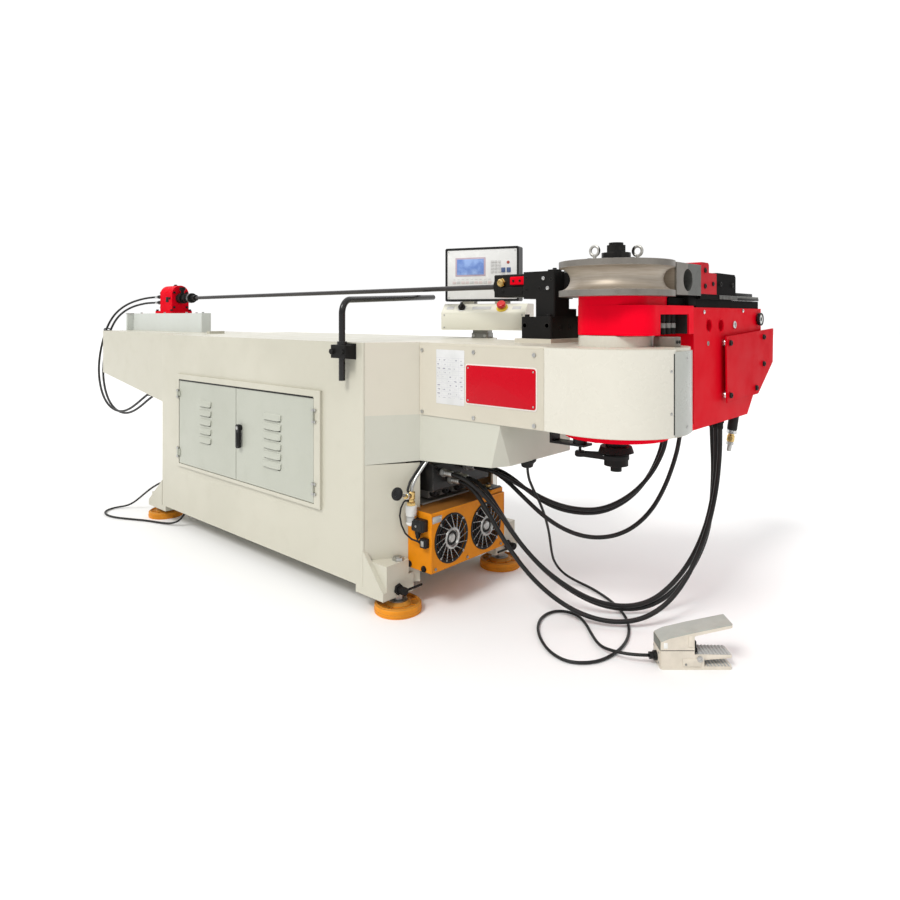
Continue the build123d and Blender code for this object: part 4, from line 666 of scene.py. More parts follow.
C2 = [(-640, -108, 466), (-580, -108, 466), (-522, -100, 430), (-468, -74, 330), (-412, -48, 236), (-342, -20, 148),
      (-262, 12, 80), (-174, 46, 36), (-80, 88, 18), (6, 150, 28), (64, 230, 68), (100, 316, 138), (122, 396, 232),
      (136, 462, 338), (142, 510, 448), (142, 540, 556), (140, 552, 634), (138, 556, 698)]
C3 = [(-640, -62, 472), (-580, -62, 472), (-516, -58, 440), (-458, -36, 352), (-402, -4, 254), (-326, 44, 156), (-243, 98, 84),
      (-158, 156, 36), (-74, 228, 18), (-6, 298, 34), (46, 366, 86), (90, 436, 168), (114, 504, 280), (110, 552, 408),
      (104, 578, 520), (95, 589, 615), (92, 590, 698)]
PC = [(-352, -18, 569), (-352, -18, 516), (-348, 12, 458), (-350, 62, 396), (-366, 124, 318), (-394, 190, 236), (-424, 246, 158),
      (-444, 296, 88), (-428, 340, 32), (-372, 356, 9), (-300, 342, 7), (-222, 308, 7), (-136, 258, 7), (-62, 190, 7), (-6, 108, 7),
      (30, 14, 7), (38, -88, 7), (18, -172, 7), (-44, -226, 7), (-122, -212, 7), (-200, -156, 7), (-262, -84, 7), (-296, -2, 7),
      (-284, 72, 7), (-216, 98, 7), (-148, 52, 7), (-84, -14, 8), (-26, -68, 12), (22, -92, 20),
      (244.3 - 189.5 * cp, 41.7 - 189.5 * sp_, 28), (244.3 - 137.5 * cp, 41.7 - 137.5 * sp_, 28)]
R1 = [(-3700, 140, 1235), (-3760, 140, 1235), (-3828, 92, 1226), (-3884, 10, 1192), (-3920, -62, 1130), (-3938, -112, 1042),
      (-3941, -146, 934), (-3932, -172, 822), (-3903, -190, 712), (-3851, -199, 617), (-3775, -204, 540), (-3680, -206, 492),
      (-3570, -206, 470), (-3460, -205, 474), (-3352, -203, 502), (-3254, -200, 544), (-3170, -197, 586), (-3108, -195, 614)]
R2 = [(x + 8 * min(1, max(0, i - 1) / 5), y + 26 * min(1, max(0, i - 1) / 5), z - (40 - 26 * min(1, max(0, i - 1) / 5))) for i, (x, y, z) in enumerate(R1)]
RC = [(-2479, -330, 190), (-2546, -330, 190), (-2618, -342, 172), (-2692, -362, 132), (-2758, -384, 82), (-2820, -404, 36), (-2870, -424, 12),
      (-2904, -478, 7), (-2872, -542, 7), (-2796, -566, 7), (-2712, -556, 7), (-2630, -518, 7), (-2566, -484, 7), (-2496, -452, 7), (-2420, -428, 7),
      (-2350, -402, 12), (-2300, -378, 38), (-2282, -364, 82)]

CORDS = [("arm_hose_a1", A1, 16, 1.007, "arm"), ("arm_hose_a2", A2, 16, 0.987, "arm"), ("arm_hose_b", B1, 16, 1.150, "arm"),
         ("arm_hose_c1", C1, 17, 1.721, "arm"), ("arm_hose_c2", C2, 17, 1.739, "arm"), ("arm_hose_c3", C3, 17, 1.707, "arm"), ("pedal_cable", PC, 10, 2.474, "floor"),
         ("rear_hose_1", R1, 14, 1.713, "frame"), ("rear_hose_2", R2, 14, 1.681, "frame"), ("rear_cable", RC, 10, 1.242, "floor")]
LINES = {}
for name, pts, dia, length, kind in CORDS:
    line = spline_points(pts)
    LINES[name] = line
    bm = bmesh.new()
    sweep_into(bm, line, dia / 2000.0, 20)
    me = bpy.data.meshes.new(name + "_tube")
    bm.to_mesh(me)
    bm.free()
    me.materials.append(M["cable"] if dia == 10 else M["hose"])
    ob = bpy.data.objects.new(name + "_tube", me)
    scene.collection.objects.link(ob)
    if name in NODES:
        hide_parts(name)
    if kind == "arm":
        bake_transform(ob)
    else:
        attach(ob, "frame")

# ================================================================ finishes of the construction
FINISH = {
    "base_frame": "ivory", "front_bed": "bed", "rear_beam": "beam", "nose_cover": "nose", "side_panel": "panel", "panel_screws": "zinc",
    "spindle_bearings": "bright", "foot_pads": "foot", "foot_screws": "zinc", "door_hinges": "zinc", "hydraulic_tank": "tank",
    "pump_motor": "iron", "valve_block": "valve", "oil_cooler": "orange", "mandrel_cylinder": "red", "cylinder_fittings": "black_oxide",
    "support_clamp": "black_oxide", "wiper_base": "black_oxide", "wiper_die": "black_oxide", "rod_guide": "black_oxide",
    "pressure_base": "ivory", "encoder": "black_plastic", "encoder_belt": "belt", "bend_cylinder": "iron", "pedal_base": "pedal",
    "pedal_gland": "black_plastic", "left_door": "door", "right_door": "door", "door_handle": "black_plastic", "mandrel_rod": "rod",
    "support_rod": "gloss_black", "console_box": "plinth", "controller": "case", "estop_button": "button_red", "selector_switch": "black_plastic",
    "pressure_die": "tool_steel", "swing_arm": "arm_red", "arm_cover": "red_cover", "arm_slideway": "slide_black", "spindle": "black_oxide",
    "bend_pinion": "tool_steel", "bend_die": "die", "die_nut": "nut", "clamp_carriage": "slide_black", "clamp_holder": "clamp_red",
    "clamp_die": "grey_steel", "encoder_pulley": "black_plastic", "bend_rack": "tool_steel", "cooler_fan_near": "black_plastic",
    "cooler_fan_far": "black_plastic", "pedal_treadle": "tread",
}
for node, key in FINISH.items():
    ob = NODES[node]
    ob.data.materials.clear()
    ob.data.materials.append(M[key])

# ================================================================ details on the frame
def rounded(x0, x1, y0, y1, r, n=6):
    """Outline of a rectangle with round corners."""
    pts = []
    for cx, cy, a0 in ((x1 - r, y1 - r, 0), (x0 + r, y1 - r, 90), (x0 + r, y0 + r, 180), (x1 - r, y0 + r, 270)):
        for i in range(n + 1):
            a = math.radians(a0 + 90 * i / n)
            pts.append((cx + r * math.cos(a), cy + r * math.sin(a)))
    return pts


# plate and chart on the side panel
k = Kit("side_plate")
k.prism("y", -227.4, -225.9, rounded(-474, -162, 785, 930, 13), M["label_pale"], 0.3)
k.prism("y", -228.5, -227.3, rounded(-469, -167, 790, 925, 9), M["red_label"], 0.4)
for x in (-459, -177):
    for z in (800, 915):
        k.lathe((x, -228.5, z), (0, -1, 0), [(0, 0), (3.4, 0), (3.2, 0.8), (2.0, 1.5), (0, 1.7)], M["zinc"], 20)
k.done("frame", "red_paint")
k = Kit("setting_chart")
k.prism("y", -226.9, -225.9, rounded(-616, -478, 776, 976, 3), M["chart"], 0.2)
k.done("frame", "case_plastic")

# plain end strip where the round cover stops, with its seam and screws: a separate sheet whose grey is painted darker
# than the nose, as painted shade on the side turned from the light
k = Kit("cover_end_strip")
out = [(241.7 * math.cos(math.radians(a)), 241.7 * math.sin(math.radians(a))) for a in [-15 + 3 * i for i in range(14)]]
back = [(236.1 * math.cos(math.radians(a)), 236.1 * math.sin(math.radians(a))) for a in [24 - 3 * i for i in range(11)]]
back += [(240.4 * math.cos(math.radians(a)), 240.4 * math.sin(math.radians(a))) for a in (-8, -10, -12.5, -15)]
k.prism("z", 729, 990, out + back, M["nose_edge"], 0.5)
seam = [(240.9 * math.cos(math.radians(a)), 240.9 * math.sin(math.radians(a))) for a in (-16.1, -15.5, -14.9)]
seam += [(240.2 * math.cos(math.radians(a)), 240.2 * math.sin(math.radians(a))) for a in (-14.9, -15.5, -16.1)]
k.prism("z", 735, 984, seam, M["dark"], 0.0)
for z in (800, 930):
    a = math.radians(-18.5)
    k.lathe((240.4 * math.cos(a), 240.4 * math.sin(a), z), (math.cos(a), math.sin(a), 0), [(0, 0), (5, 0), (5, 0.8), (3.6, 1.7), (0, 1.9)], M["zinc"], 20)
for z in (752, 966):
    a = math.radians(2)
    k.lathe((241.5 * math.cos(a), 241.5 * math.sin(a), z), (math.cos(a), math.sin(a), 0), [(0, 0), (5.5, 0), (5.5, 1), (4, 2), (0, 2.2)], M["zinc"], 20)
k.done("frame", "nose_paint")

# door seal above the doors, a black rubber strip drawn wider than the gap so that it also paints the shade in the gap
# over the doors, and pressed louvre hoods
k = Kit("door_seal_and_gap_shade")
k.box(-2247, -1113, -418.2, -416.6, 770.5, 776.5, M["rubber"], 0.6)
k.done("frame", "rubber")


def louvres(name, body, x0, x1, zs):
    kit = Kit(name)
    for z in zs:
        n = 8
        rows = []
        for i in range(n + 1):
            # the hood swells from its closed ends to full depth
            t = i / n
            swell = min(1.0, 4.2 * min(t, 1 - t)) ** 0.5
            rows.append((x0 + (x1 - x0) * t, swell))
        bm = bmesh.new()
        shape = [(-415.2, 32.0), (-418.2, 30.0), (-420.9, 24.5), (-421.9, 12.0), (-422.3, 2.0), (-421.2, 1.2), (-420.3, 5.6), (-415.2, 5.6)]
        rings = []
        for x, swell in rows:
            rings.append([bm.verts.new((x, -415.0 + (y + 415.0) * max(0.86, swell), z + 18 + (h - 18) * (0.80 + 0.20 * swell))) for y, h in shape])
        for a, b in zip(rings[:-1], rings[1:]):
            for j in range(len(shape)):
                jj = (j + 1) % len(shape)
                bm.faces.new((a[j], b[j], b[jj], a[jj]))
        bm.faces.new(rings[0])
        bm.faces.new(rings[-1][::-1])
        kit._add(bm, M["door"])
    return kit.done(body, "door_paint")


louvres("left_louvres", "left_door", -2036, -1924, [480 + 44 * i for i in range(5)])
louvres("right_louvres", "right_door", -1472, -1339, [445 + 41 * i for i in range(6)])

# handle trim: round backing plate and key barrel on the lever
k = Kit("handle_trim")
k.lathe((-1657, -436, 594), (0, -1, 0), [(0, 0), (8.5, 0), (8.5, 1.6), (7.2, 2.6), (3.2, 2.6), (2.6, 1.4), (0, 1.4)], M["zinc"], 28)
k.prism("y", -437.6, -435.6, rounded(-1665, -1649, 512, 572, 6), M["rubber"], 0.7)
k.done("door_handle", "black_plastic")

# steel skin of the stop block on the nose
k = Kit("stop_block_skin")
k.box(133.6, 206.4, -1.4, 41.4, 1001, 1033.4, M["stop_steel"], 2.2, 3)
for y in (10, 30):
    k.screw((206.4, y, 1017), (1, 0, 0), 5.5, 3.2, M["black_oxide"])
k.done("frame", "tool_steel")

# ---------------------------------------------------------------- oil cooler
FANS = ((-151.0, "near"), (56.0, "far"))
k = Kit("fan_guards")
for fy, _ in FANS:
    c = (-608, fy, 259)
    k.lathe(c, (1, 0, 0), [(83.5, -1.0), (94.0, -1.0), (94.0, 2.2), (92.5, 3.4), (85.5, 3.4), (83.5, 1.6)], M["black_plastic"], 64, loop=True)
    for big in (79.0, 68.0, 57.0, 46.5):
        k.ring((-603.5, fy, 259), (1, 0, 0), big, 1.5, M["black_plastic"], 56, 8)
    for i in range(16):
        a = 2 * math.pi * (i + 0.3) / 16
        b = a + 0.32
        k.rod((-602.5, fy + 40 * math.cos(a), 259 + 40 * math.sin(a)), (-604.5, fy + 88 * math.cos(b), 259 + 88 * math.sin(b)), 1.4, M["zinc"], 8, 0.3)
    for i in range(4):
        a = math.pi / 4 + i * math.pi / 2
        k.screw((-605, fy + 89 * math.cos(a), 259 + 89 * math.sin(a)), (1, 0, 0), 4.2, 3.4, M["zinc"])
    k.lathe((-626, fy, 259), (1, 0, 0), [(0, 0), (39, 0), (42, 3), (42, 20), (40, 25), (34, 26.5), (31.5, 25), (30, 20.5), (24, 18.5), (17, 19.5), (15, 23), (11, 24.5), (0, 24.5)], M["zinc"], 48)
    # painted shade: a dark ring at the bottom of the cap's groove
    k.lathe((-607.6, fy, 259), (1, 0, 0), [(17.5, 0), (29.0, 0.6), (29.0, 1.6), (17.5, 1.2)], M["dark"], 40, loop=True)
k.done("frame", "black_plastic")

k = Kit("cooler_trim")
# bare rating plate with rivets, bolts along the foot of the flank
k.prism("x", -608.4, -606.6, rounded(-256, -206, 333, 358, 2.5), M["zinc"], 0.4)
for y in (-252.5, -209.5):
    k.lathe((-606.6, y, 345.5), (1, 0, 0), [(0, 0), (2.0, 0), (1.6, 1.0), (0, 1.3)], M["zinc"], 14)
for x, z in ((-722, 163), (-646, 161)):
    k.hex((x, -261, z), (0, -1, 0), 17, 8, M["black_oxide"])
    k.lathe((x, -261, z), (0, -1, 0), [(0, 0), (12, 0), (12, 2), (0, 2)], M["black_oxide"], 28)
for y in (-240, -60, 150):
    k.hex((-608, y, 163), (1, 0, 0), 10, 5, M["dull_zinc"])
# folded flanges of the sheet metal case
k.box(-612, -606.4, -262.4, -258.2, 151, 371, M["orange"], 1.4)
k.box(-612, -606.4, 169.2, 173.4, 151, 371, M["orange"], 1.4)
k.box(-612, -606.6, -258, 169, 364, 373.2, M["orange"], 1.4)
k.done("frame", "orange_paint")

k = Kit("cooler_ports")
# terminal box on the far end of the top, with a dark lid edge and screws
k.box(-690, -612, 92, 170, 372, 392, M["orange"], 3, 3)
k.box(-686, -616, 96, 166, 391.5, 395.5, M["black_plastic"], 1.5)
for x in (-680, -622):
    for y in (102, 160):
        k.screw((x, y, 395.5), (0, 0, 1), 4, 3, M["zinc"])
k.hex((-650, 122, 395), (0, 0, 1), 20, 9, M["brass"])
k.done("frame", "orange_paint")

k = Kit("cooler_plugs")
# two plug connectors on the flank, each with its gland
k.box(-682, -624, -293, -261, 304, 348, M["black_plastic"], 4, 3)
k.box(-678, -628, -297, -292, 309, 343, M["black_plastic"], 2.5, 3)
k.screw((-653, -297, 326), (0, -1, 0), 4, 2.4, M["zinc"])
k.hex((-661, -278, 304), (0, 0, -1), 22, 12, M["black_plastic"])
k.lathe((-661, -278, 292), (0, 0, -1), [(0, 0), (9.5, 0), (9.5, 9), (6.5, 16), (0, 16)], M["black_plastic"], 24)
k.box(-648, -618, -283, -261, 245, 280, M["black_plastic"], 3, 3)
k.hex((-648, -273, 263), (-1, 0, 0), 16, 8, M["black_plastic"])
k.box(-640, -626, -285.5, -282.6, 252, 273, M["zinc"], 1)
k.tube([(-661, -278, 278), (-661, -280, 272), (-660, -282, 268), (-657, -281, 264), (-652, -276, 263)], 3.6, M["cable"])
k.done("frame", "black_plastic")

k = Kit("return_line")
# return filter and shut-off valve at the left end of the flank
k.lathe((-690, -284, 320), (0, 0, 1), [(0, 0), (13, 0), (18, 4), (20, 9), (20, 46), (21.5, 48), (21.5, 72), (19, 75), (0, 75)], M["white_plastic"], 36)
k.lathe((-690, -284, 322), (0, 0, 1), [(20.4, 12), (20.9, 13), (20.9, 34), (20.4, 35)], M["zinc"], 36, loop=True)
k.rod((-690, -284, 333), (-690, -258, 333), 11, M["dull_zinc"])
k.hex((-690, -262, 333), (0, -1, 0), 27, 9, M["dull_zinc"])
k.hex((-690, -284, 394), (0, 0, 1), 30, 14, M["brass"])
k.lathe((-690, -284, 407), (0, 0, 1), [(0, 0), (12, 0), (12, 9), (14.5, 12), (14.5, 36), (12, 39), (0, 39)], M["brass"], 28)
k.lathe((-690, -292, 432), (0, -1, 0), [(0, 0), (12.5, 0), (12.5, 12), (9, 14), (9, 24), (0, 24)], M["brass"], 28)
k.hex((-690, -300, 432), (0, -1, 0), 24, 10, M["bright"])
k.rod((-690, -308, 432), (-690, -346, 446), 5.5, M["zinc"])
k.lathe((-690, -340, 444), (0, -0.94, 0.34), [(0, 0), (10, 0), (12, 5), (21, 9), (24, 13), (24, 21), (21.5, 25), (10, 27), (8, 24.5), (0, 24.5)], M["black_plastic"], 32)
k.tube([(-690, -284, 444), (-690, -280, 462), (-688, -262, 492), (-684, -232, 524), (-680, -204, 552), (-678, -190, 588)], 6.0, M["zinc"])
k.tube([(-690, -297, 440), (-697, -296, 452), (-699, -282, 478), (-697, -250, 512), (-692, -214, 548), (-690, -194, 588)], 5.0, M["cable"])
# lead from the valve's switch down to the lower connector
k.box(-706, -690, -300, -284, 408, 428, M["black_plastic"], 2)
k.tube([(-705, -293, 414), (-716, -298, 404), (-729, -300, 380), (-735, -300, 350), (-727, -299, 316), (-708, -297, 288), (-684, -288, 270), (-662, -276, 263), (-652, -273, 263)], 3.4, M["cable"])
k.done("frame", "bright_steel")

k = Kit("drip_tray")
k.prism("y", -196, 78, [(-716, 372.2), (-716, 378), (-719, 378), (-724, 375.2), (-812, 387.2), (-822, 387.2), (-822, 384.4), (-812, 384.4)], M["guard_grey"], 0.5)
for y in (-180, -60, 62):
    k.screw((-765, y, 380.4), (0, 0, 1), 4.5, 3.4, M["zinc"])
k.done("frame", "tank_paint")

# hose ends on the valve block
k = Kit("hose_ends_frame")
k.rod((-674, -62, 472), (-650, -62, 472), 11, M["dull_zinc"])
for y, z, r in ((-150, 500, 8.5), (-108, 466, 8.5), (-62, 472, 8.5), (-18, 505, 8), (24, 498, 8), (66, 492, 8)):
    k.hex((-655, y, z), (1, 0, 0), 30, 15, M["dull_zinc"])
    k.lathe((-640, y, z), (1, 0, 0), [(0, 0), (r + 3.6, 0), (r + 3.6, 5), (r + 2.6, 6.5), (r + 3.6, 8), (r + 3.6, 14), (r + 2.6, 15.5), (r + 3.6, 17), (r + 3.6, 24), (r + 2.6, 25.5), (r + 3.4, 27), (r + 3.4, 33), (r + 1.2, 36), (0, 36)], M["zinc"], 28)
for y in (-170, -60, 110):
    k.screw((-672, y, 517), (1, 0, 0), 7, 6, M["black_oxide"])
for by in (-140, -70, 0, 70):
    k.lathe((-720, by, 408), (1, 0, 0), [(0, 0), (15, 0), (15, 12), (12, 16), (6, 16), (5, 20), (0, 20)], M["black_plastic"], 28)
k.done("frame", "bright_steel")

# grommet where the pedal's cable leaves the deep box
k = Kit("cable_grommet")
k.lathe((-352, -18, 576), (0, 0, -1), [(0, 0), (34, 0), (34, 7), (31, 12), (24, 18), (21, 30), (14, 34), (8, 34), (6, 31), (0, 31)], M["rubber"], 40)
k.done("frame", "rubber")

# ---------------------------------------------------------------- front brackets
k = Kit("bracket_locks")
for s in (-1, 1):
    y = s * 331
    k.hex((-712, y, 90), (1, 0, 0), 36, 10, M["black_oxide"])
    k.lathe((-702, y, 90), (1, 0, 0), [(0, 0), (11, 0), (11, 12), (15, 14), (15, 30), (12, 33), (0, 33)], M["black_oxide"], 28)
    a, b = sorted((y, y - s * 92))
    k.rod((-679, a - (16 if s > 0 else 0), 90), (-679, b + (0 if s > 0 else 0), 90), 4.5, M["black_oxide"])
k.done("frame", "black_oxide")

k = Kit("foot_collars")
for fx, fy in ((-735, -309), (-735, 309), (-2568, -335), (-2568, 335)):
    k.lathe((fx, fy, 27), (0, 0, 1), [(36.4, 0), (52, 0), (52, 4), (44, 9), (37.5, 12), (36.4, 12)], M["foot"], 40, loop=True)
    k.lathe((fx, fy, 6), (0, 0, 1), [(87.6, 0), (89.2, 1.5), (89.2, 7.5), (87.6, 9)], M["foot"], 64, loop=True)
    k.ring((fx, fy, 31.6), (0, 0, 1), 79, 3.0, M["foot"], 56, 8)
    for i in range(8):
        a = 2 * math.pi * (i + 0.5) / 8
        k.box(fx + 62 * math.cos(a) - 11, fx + 62 * math.cos(a) + 11, fy + 62 * math.sin(a) - 2.4, fy + 62 * math.sin(a) + 2.4, 26.5, 31.5, M["foot"], 1.0,
              turn=Matrix.Rotation(a, 4, "Z"))
k.done("frame", "orange_paint")

# ---------------------------------------------------------------- mandrel cylinder and rear beam
k = Kit("cylinder_trim")
for x in (-3678, -3462):
    for y in (124, 256):
        k.lathe((x, y, 1135), (0, 0, 1), [(0, 0), (12, 0), (12, 2), (0, 2)], M["black_oxide"], 24)
        k.screw((x, y, 1137), (0, 0, 1), 8.5, 9, M["black_oxide"])
for y in (145, 236):
    for z in (1160, 1262):
        k.hex((-3648, y, z), (-1, 0, 0), 24, 12, M["black_oxide"])
        k.screw((-3468, y, z), (1, 0, 0), 8, 6, M["black_oxide"])
for z in (1235, 1195):
    k.hex((-3676, 140, z), (-1, 0, 0), 25, 10, M["black_oxide"])
    k.lathe((-3697, 140, z), (-1, 0, 0), [(0, 0), (10.2, 0), (10.2, 8), (9.2, 10), (10.2, 12), (10.2, 22), (9.2, 24), (10.2, 26), (10.2, 36), (8, 38), (0, 38)], M["bright"], 26)
k.lathe((-3648, 190.5, 1262), (-1, 0, 0), [(0, 0), (15, 0), (15, 14), (20, 16), (20, 34), (17, 38), (0, 38)], M["black_plastic"], 30)
k.box(-3560, -3520, 128.6, 131, 1196, 1232, M["black_oxide"], 1.0)
k.screw((-3500, 130.5, 1222), (0, -1, 0), 9, 5, M["black_oxide"])
k.lathe((-3540, 190.5, 1310.5), (0, 0, 1), [(0, 0), (13, 0), (13, 5), (9, 6), (9, 10), (0, 10)], M["black_oxide"], 28)
k.hex((-3385, 190.5, 1222), (1, 0, 0), 58, 22, M["black_oxide"], 0)
k.ring((-3312, 190.5, 1222), (1, 0, 0), 33, 1.6, M["bright"], 40, 8)
k.done("frame", "black_oxide")

k = Kit("plinth_bolts")
for x in (-3700, -3560, -3410):
    k.screw((x, 280, 1117), (0, 0, 1), 8, 8, M["zinc"])
for x in (-3650, -3300, -3000, -2790):
    k.screw((x, 0, 1117), (0, 0, 1), 7, 7, M["zinc"])
k.box(-3734, -3706, -74.4, -28.8, 1116.2, 1119, M["zinc"], 1.0)
k.box(-3744, -3736, -216, -172, 985, 1004, M["rubber"], 2)
k.tube([(-3742, -214, 1002), (-3742, -212, 1012), (-3742, -194, 1016), (-3742, -176, 1012), (-3742, -174, 1002)], 4, M["rubber"])
for y in (-188, -162):
    k.lathe((-3104, y - 2, 612), (0.66, 0.03, 0.62), [(0, 0), (13, 0), (13, 8), (10, 12), (10, 34), (0, 34)], M["rubber"], 26)
k.done("frame", "bright_steel")

# ---------------------------------------------------------------- support
k = Kit("support_trim")
k.hex((-938, -458, 966), (0, -1, 0), 20, 9, M["black_oxide"])
k.hex((-878, -457, 966), (0, -1, 0), 16, 8, M["black_oxide"])
k.box(-955, -861, -410, -404.6, 936, 996, M["black_oxide"], 2)
k.done("frame", "black_oxide")

# ---------------------------------------------------------------- wiper unit
k = Kit("wiper_trim")
for x, z in ((-332, 1241), (-313, 1204)):
    k.screw((x, 60, z), (0, -1, 0), 7.5, 6, M["bright"])
for x, z in ((-352, 1204), (-300, 1236), (-412, 1200), (-412, 1246)):
    k.lathe((x, 60, z), (0, -1, 0), [(0, 0), (7, 0), (7, 1.2), (5.4, 1.2), (5.4, -3), (0, -3)], M["black_oxide"], 24)
for x in (-398, -298):
    k.lathe((x, 30, 1064), (0, -1, 0), [(0, 0), (10.5, 0), (10.5, 1.2), (8.4, 1.2), (8.0, -4), (0, -4)], M["black_oxide"], 28)
    k.screw((x, 46, 1097), (0, 0, 1), 9, 9, M["black_oxide"])
for y in (90, 160):
    k.lathe((-280, y, 1056), (1, 0, 0), [(0, 0), (10.5, 0), (10.5, 1.2), (8.4, 1.2), (8.0, -4), (0, -4)], M["black_oxide"], 28)
k.box(-286, -232, 126.2, 131, 1262, 1272.4, M["dull_zinc"], 1.2)
k.box(-330, -290, 82, 118, 1267.5, 1275, M["black_oxide"], 2)
k.screw((-310, 100, 1275), (0, 0, 1), 8, 6, M["black_oxide"])
# clamping bush, red stop block and collar of the rod guide
k.hex((-586, 138, 1235), (0, -1, 0), 34, 12, M["brass"])
k.lathe((-586, 126, 1235), (0, -1, 0), [(0, 0), (13, 0), (15, 3), (15, 8), (10, 14), (0, 15)], M["brass"], 30)
k.box(-541, -471, 124, 139, 1224, 1257, M["red"], 4, 3)
k.screw((-522, 124, 1240), (0, -1, 0), 5, 3.4, M["black_oxide"])
k.screw((-490, 124, 1240), (0, -1, 0), 5, 3.4, M["black_oxide"])
k.lathe((-630, 190.5, 1222), (-1, 0, 0), [(15, 0), (44, 0), (44, 12), (40, 16), (24, 16), (22, 26), (15, 26)], M["black_oxide"], 44, loop=True)
k.box(-600, -460, 126, 139, 1180, 1216, M["black_oxide"], 3, 3)
for x in (-580, -480):
    k.screw((x, 126, 1198), (0, -1, 0), 6, 4, M["black_oxide"])
k.done("frame", "black_oxide")

# ---------------------------------------------------------------- console
k = Kit("controller_face", CONSOLE)
k.prism("y", -38.0, -35.9, rounded(-158, 176, 1176, 1400, 4), M["face"], 0.4)
k.prism("y", -39.0, -37.9, rounded(-118, 29, 1280, 1365, 2), M["lcd_border"], 0.3)
k.prism("y", -39.5, -38.9, rounded(-110, 21, 1287, 1358, 1.5), M["lcd"], 0.2)
for i in range(3):
    for j in range(4):
        u, z = 54 + i * 17, 1292 + j * 15
        k.box(u, u + 14, -39.8, -37.9, z, z + 12, M["key_grey"], 1.2)
for u0, z0, mat in ((104, 1294, "key_blue"), (129, 1294, "key_blue")):
    k.box(u0, u0 + 19, -40.0, -37.9, z0, z0 + 22, M[mat], 2)
for u0 in (105, 130):
    k.box(u0, u0 + 17, -39.7, -37.9, 1275, 1290, M["key_grey"], 1.5)
k.lathe((136, -37.9, 1339), (0, -1, 0), [(0, 0), (7, 0), (7, 1.2), (5.4, 2.0), (0, 2.1)], M["key_red"], 24)
for i in range(9):
    u = -132 + i * 21.5
    k.box(u, u + 17, -39.6, -37.9, 1246, 1258, M["key_pink"] if i % 3 != 1 else M["key_grey"], 1.2)
    k.box(u + 3, u + 14, -38.6, -37.9, 1264, 1267, M["key_grey"], 0.3)
for u in (-150, 168):
    for z in (1184, 1392):
        k.screw((u, -38.0, z), (0, -1, 0), 3.0, 1.4, M["zinc"])
k.done("console", "case_plastic")

k = Kit("controller_back", CONSOLE)
k.box(-160, 178, 17.0, 21, 1176, 1400, M["case"], 2)
# painted shade: dark strips stand in for the openings of the vent slots
for i in range(9):
    k.box(-120, 130, 20.6, 22.2, 1300 + i * 9, 1304 + i * 9, M["dark"], 0.5)
for u in (-90, -20, 60):
    k.box(u, u + 46, 20.5, 27, 1196, 1216, M["black_plastic"], 1.5)
k.lathe((150, 18, 1200), (0, 1, 0), [(0, 0), (13, 0), (13, 8), (9, 12), (9, 20), (0, 20)], M["black_plastic"], 26)
k.done("console", "black_plastic")

NRM = (0.0, -0.698, 0.716)
k = Kit("desk_trim", CONSOLE)
k.lathe((112, -50, 1135.5), NRM, [(8.6, 0.2), (26, 0.2), (26, 3.0), (23, 6.2), (12.5, 8.2), (8.6, 8.2)], M["yellow"], 40, loop=True)
k.lathe((-80, -50, 1135.5), NRM, [(6.4, 0.2), (20, 0.2), (20, 1.2), (18.5, 1.8), (6.4, 1.8)], M["zinc"], 36, loop=True)
TILT = Matrix.Rotation(math.radians(-44.3), 4, "X")
for u0, u1 in ((-155, -120), (-30, 60), (160, 200)):
    m = Vector(((u0 + u1) / 2, -50, 1135.5)) + Vector(NRM) * 0.5
    k.box(m.x - (u1 - u0) / 2, m.x + (u1 - u0) / 2, m.y - 9, m.y + 9, m.z - 0.6, m.z + 0.6, M["key_grey"], 0.3, turn=Matrix.Rotation(math.radians(44.3), 4, "X"))
k.box(-173, 223, -70.8, -69.4, 1042, 1110, M["plinth"], 0.6)
for u in (-160, 210):
    for z in (1048, 1104):
        k.screw((u, -70.8, z), (0, -1, 0), 3.6, 1.6, M["zinc"])
k.box(-168, 218, 56, 60.2, 1045, 1148, M["plinth"], 1.2)
for u in (-158, 25, 208):
    for z in (1054, 1139):
        k.screw((u, 60.2, z), (0, 1, 0), 4, 2, M["zinc"])
k.done("console", "nose_paint")

k = Kit("post_sleeve", CONSOLE)
k.prism("z", 1022.5, 1036, rounded(-36, 36, -36, 36, 7), M["dull_zinc"], 1.2)
k.prism("z", 1000.6, 1022.6, rounded(-40, 40, -40, 40, 8), M["dull_zinc"], 1.2)
for s in (-1, 1):
    k.hex((s * 26, -40, 1011), (0, -1, 0), 12, 6, M["zinc"])
k.done("console", "bright_steel")

# ---------------------------------------------------------------- swing arm
k = Kit("hub_pins")
for y in (32, 72, 112, 152, 192):
    k.lathe((108, y, 1037.6), (0, 0, 1), [(0, 0), (12, 0), (13, 1), (13, 20), (10, 23), (10, 40), (13, 43), (13, 67.2), (0, 67.2)], M["black_oxide"], 24)
    k.lathe((108, y, 1058), (0, 0, 1), [(10.2, 0), (13.6, 1.5), (13.6, 17), (10.2, 18.5)], M["dull_zinc"], 24, loop=True)
# painted shade: dark boxes behind and beside the pins darken the inside of the hub's window
k.box(78, 96, 8, 222, 1048, 1104.6, M["dark"], 1.5)
k.box(96, 150, 221, 224.6, 1038.5, 1104.6, M["dark"], 0.8)
# black bridge between the hub and the slideway, under the clamp die
k.box(-100, 133, 112, 238, 1135.2, 1162.4, M["slide_black"], 2.0)
k.box(-100, 150, 236, 299.4, 1135.2, 1169.6, M["slide_black"], 2.0)
k.done("swing_arm", "black_oxide")

# collar of the upper bearing, on the nose under the hub
k = Kit("bearing_collar")
k.lathe((0, 0, 1000.2), (0, 0, 1), [(60, 0), (124, 0), (124, 33), (121.5, 35.4), (60, 35.4)], M["nose"], 96, loop=True)
k.done("frame", "nose_paint")

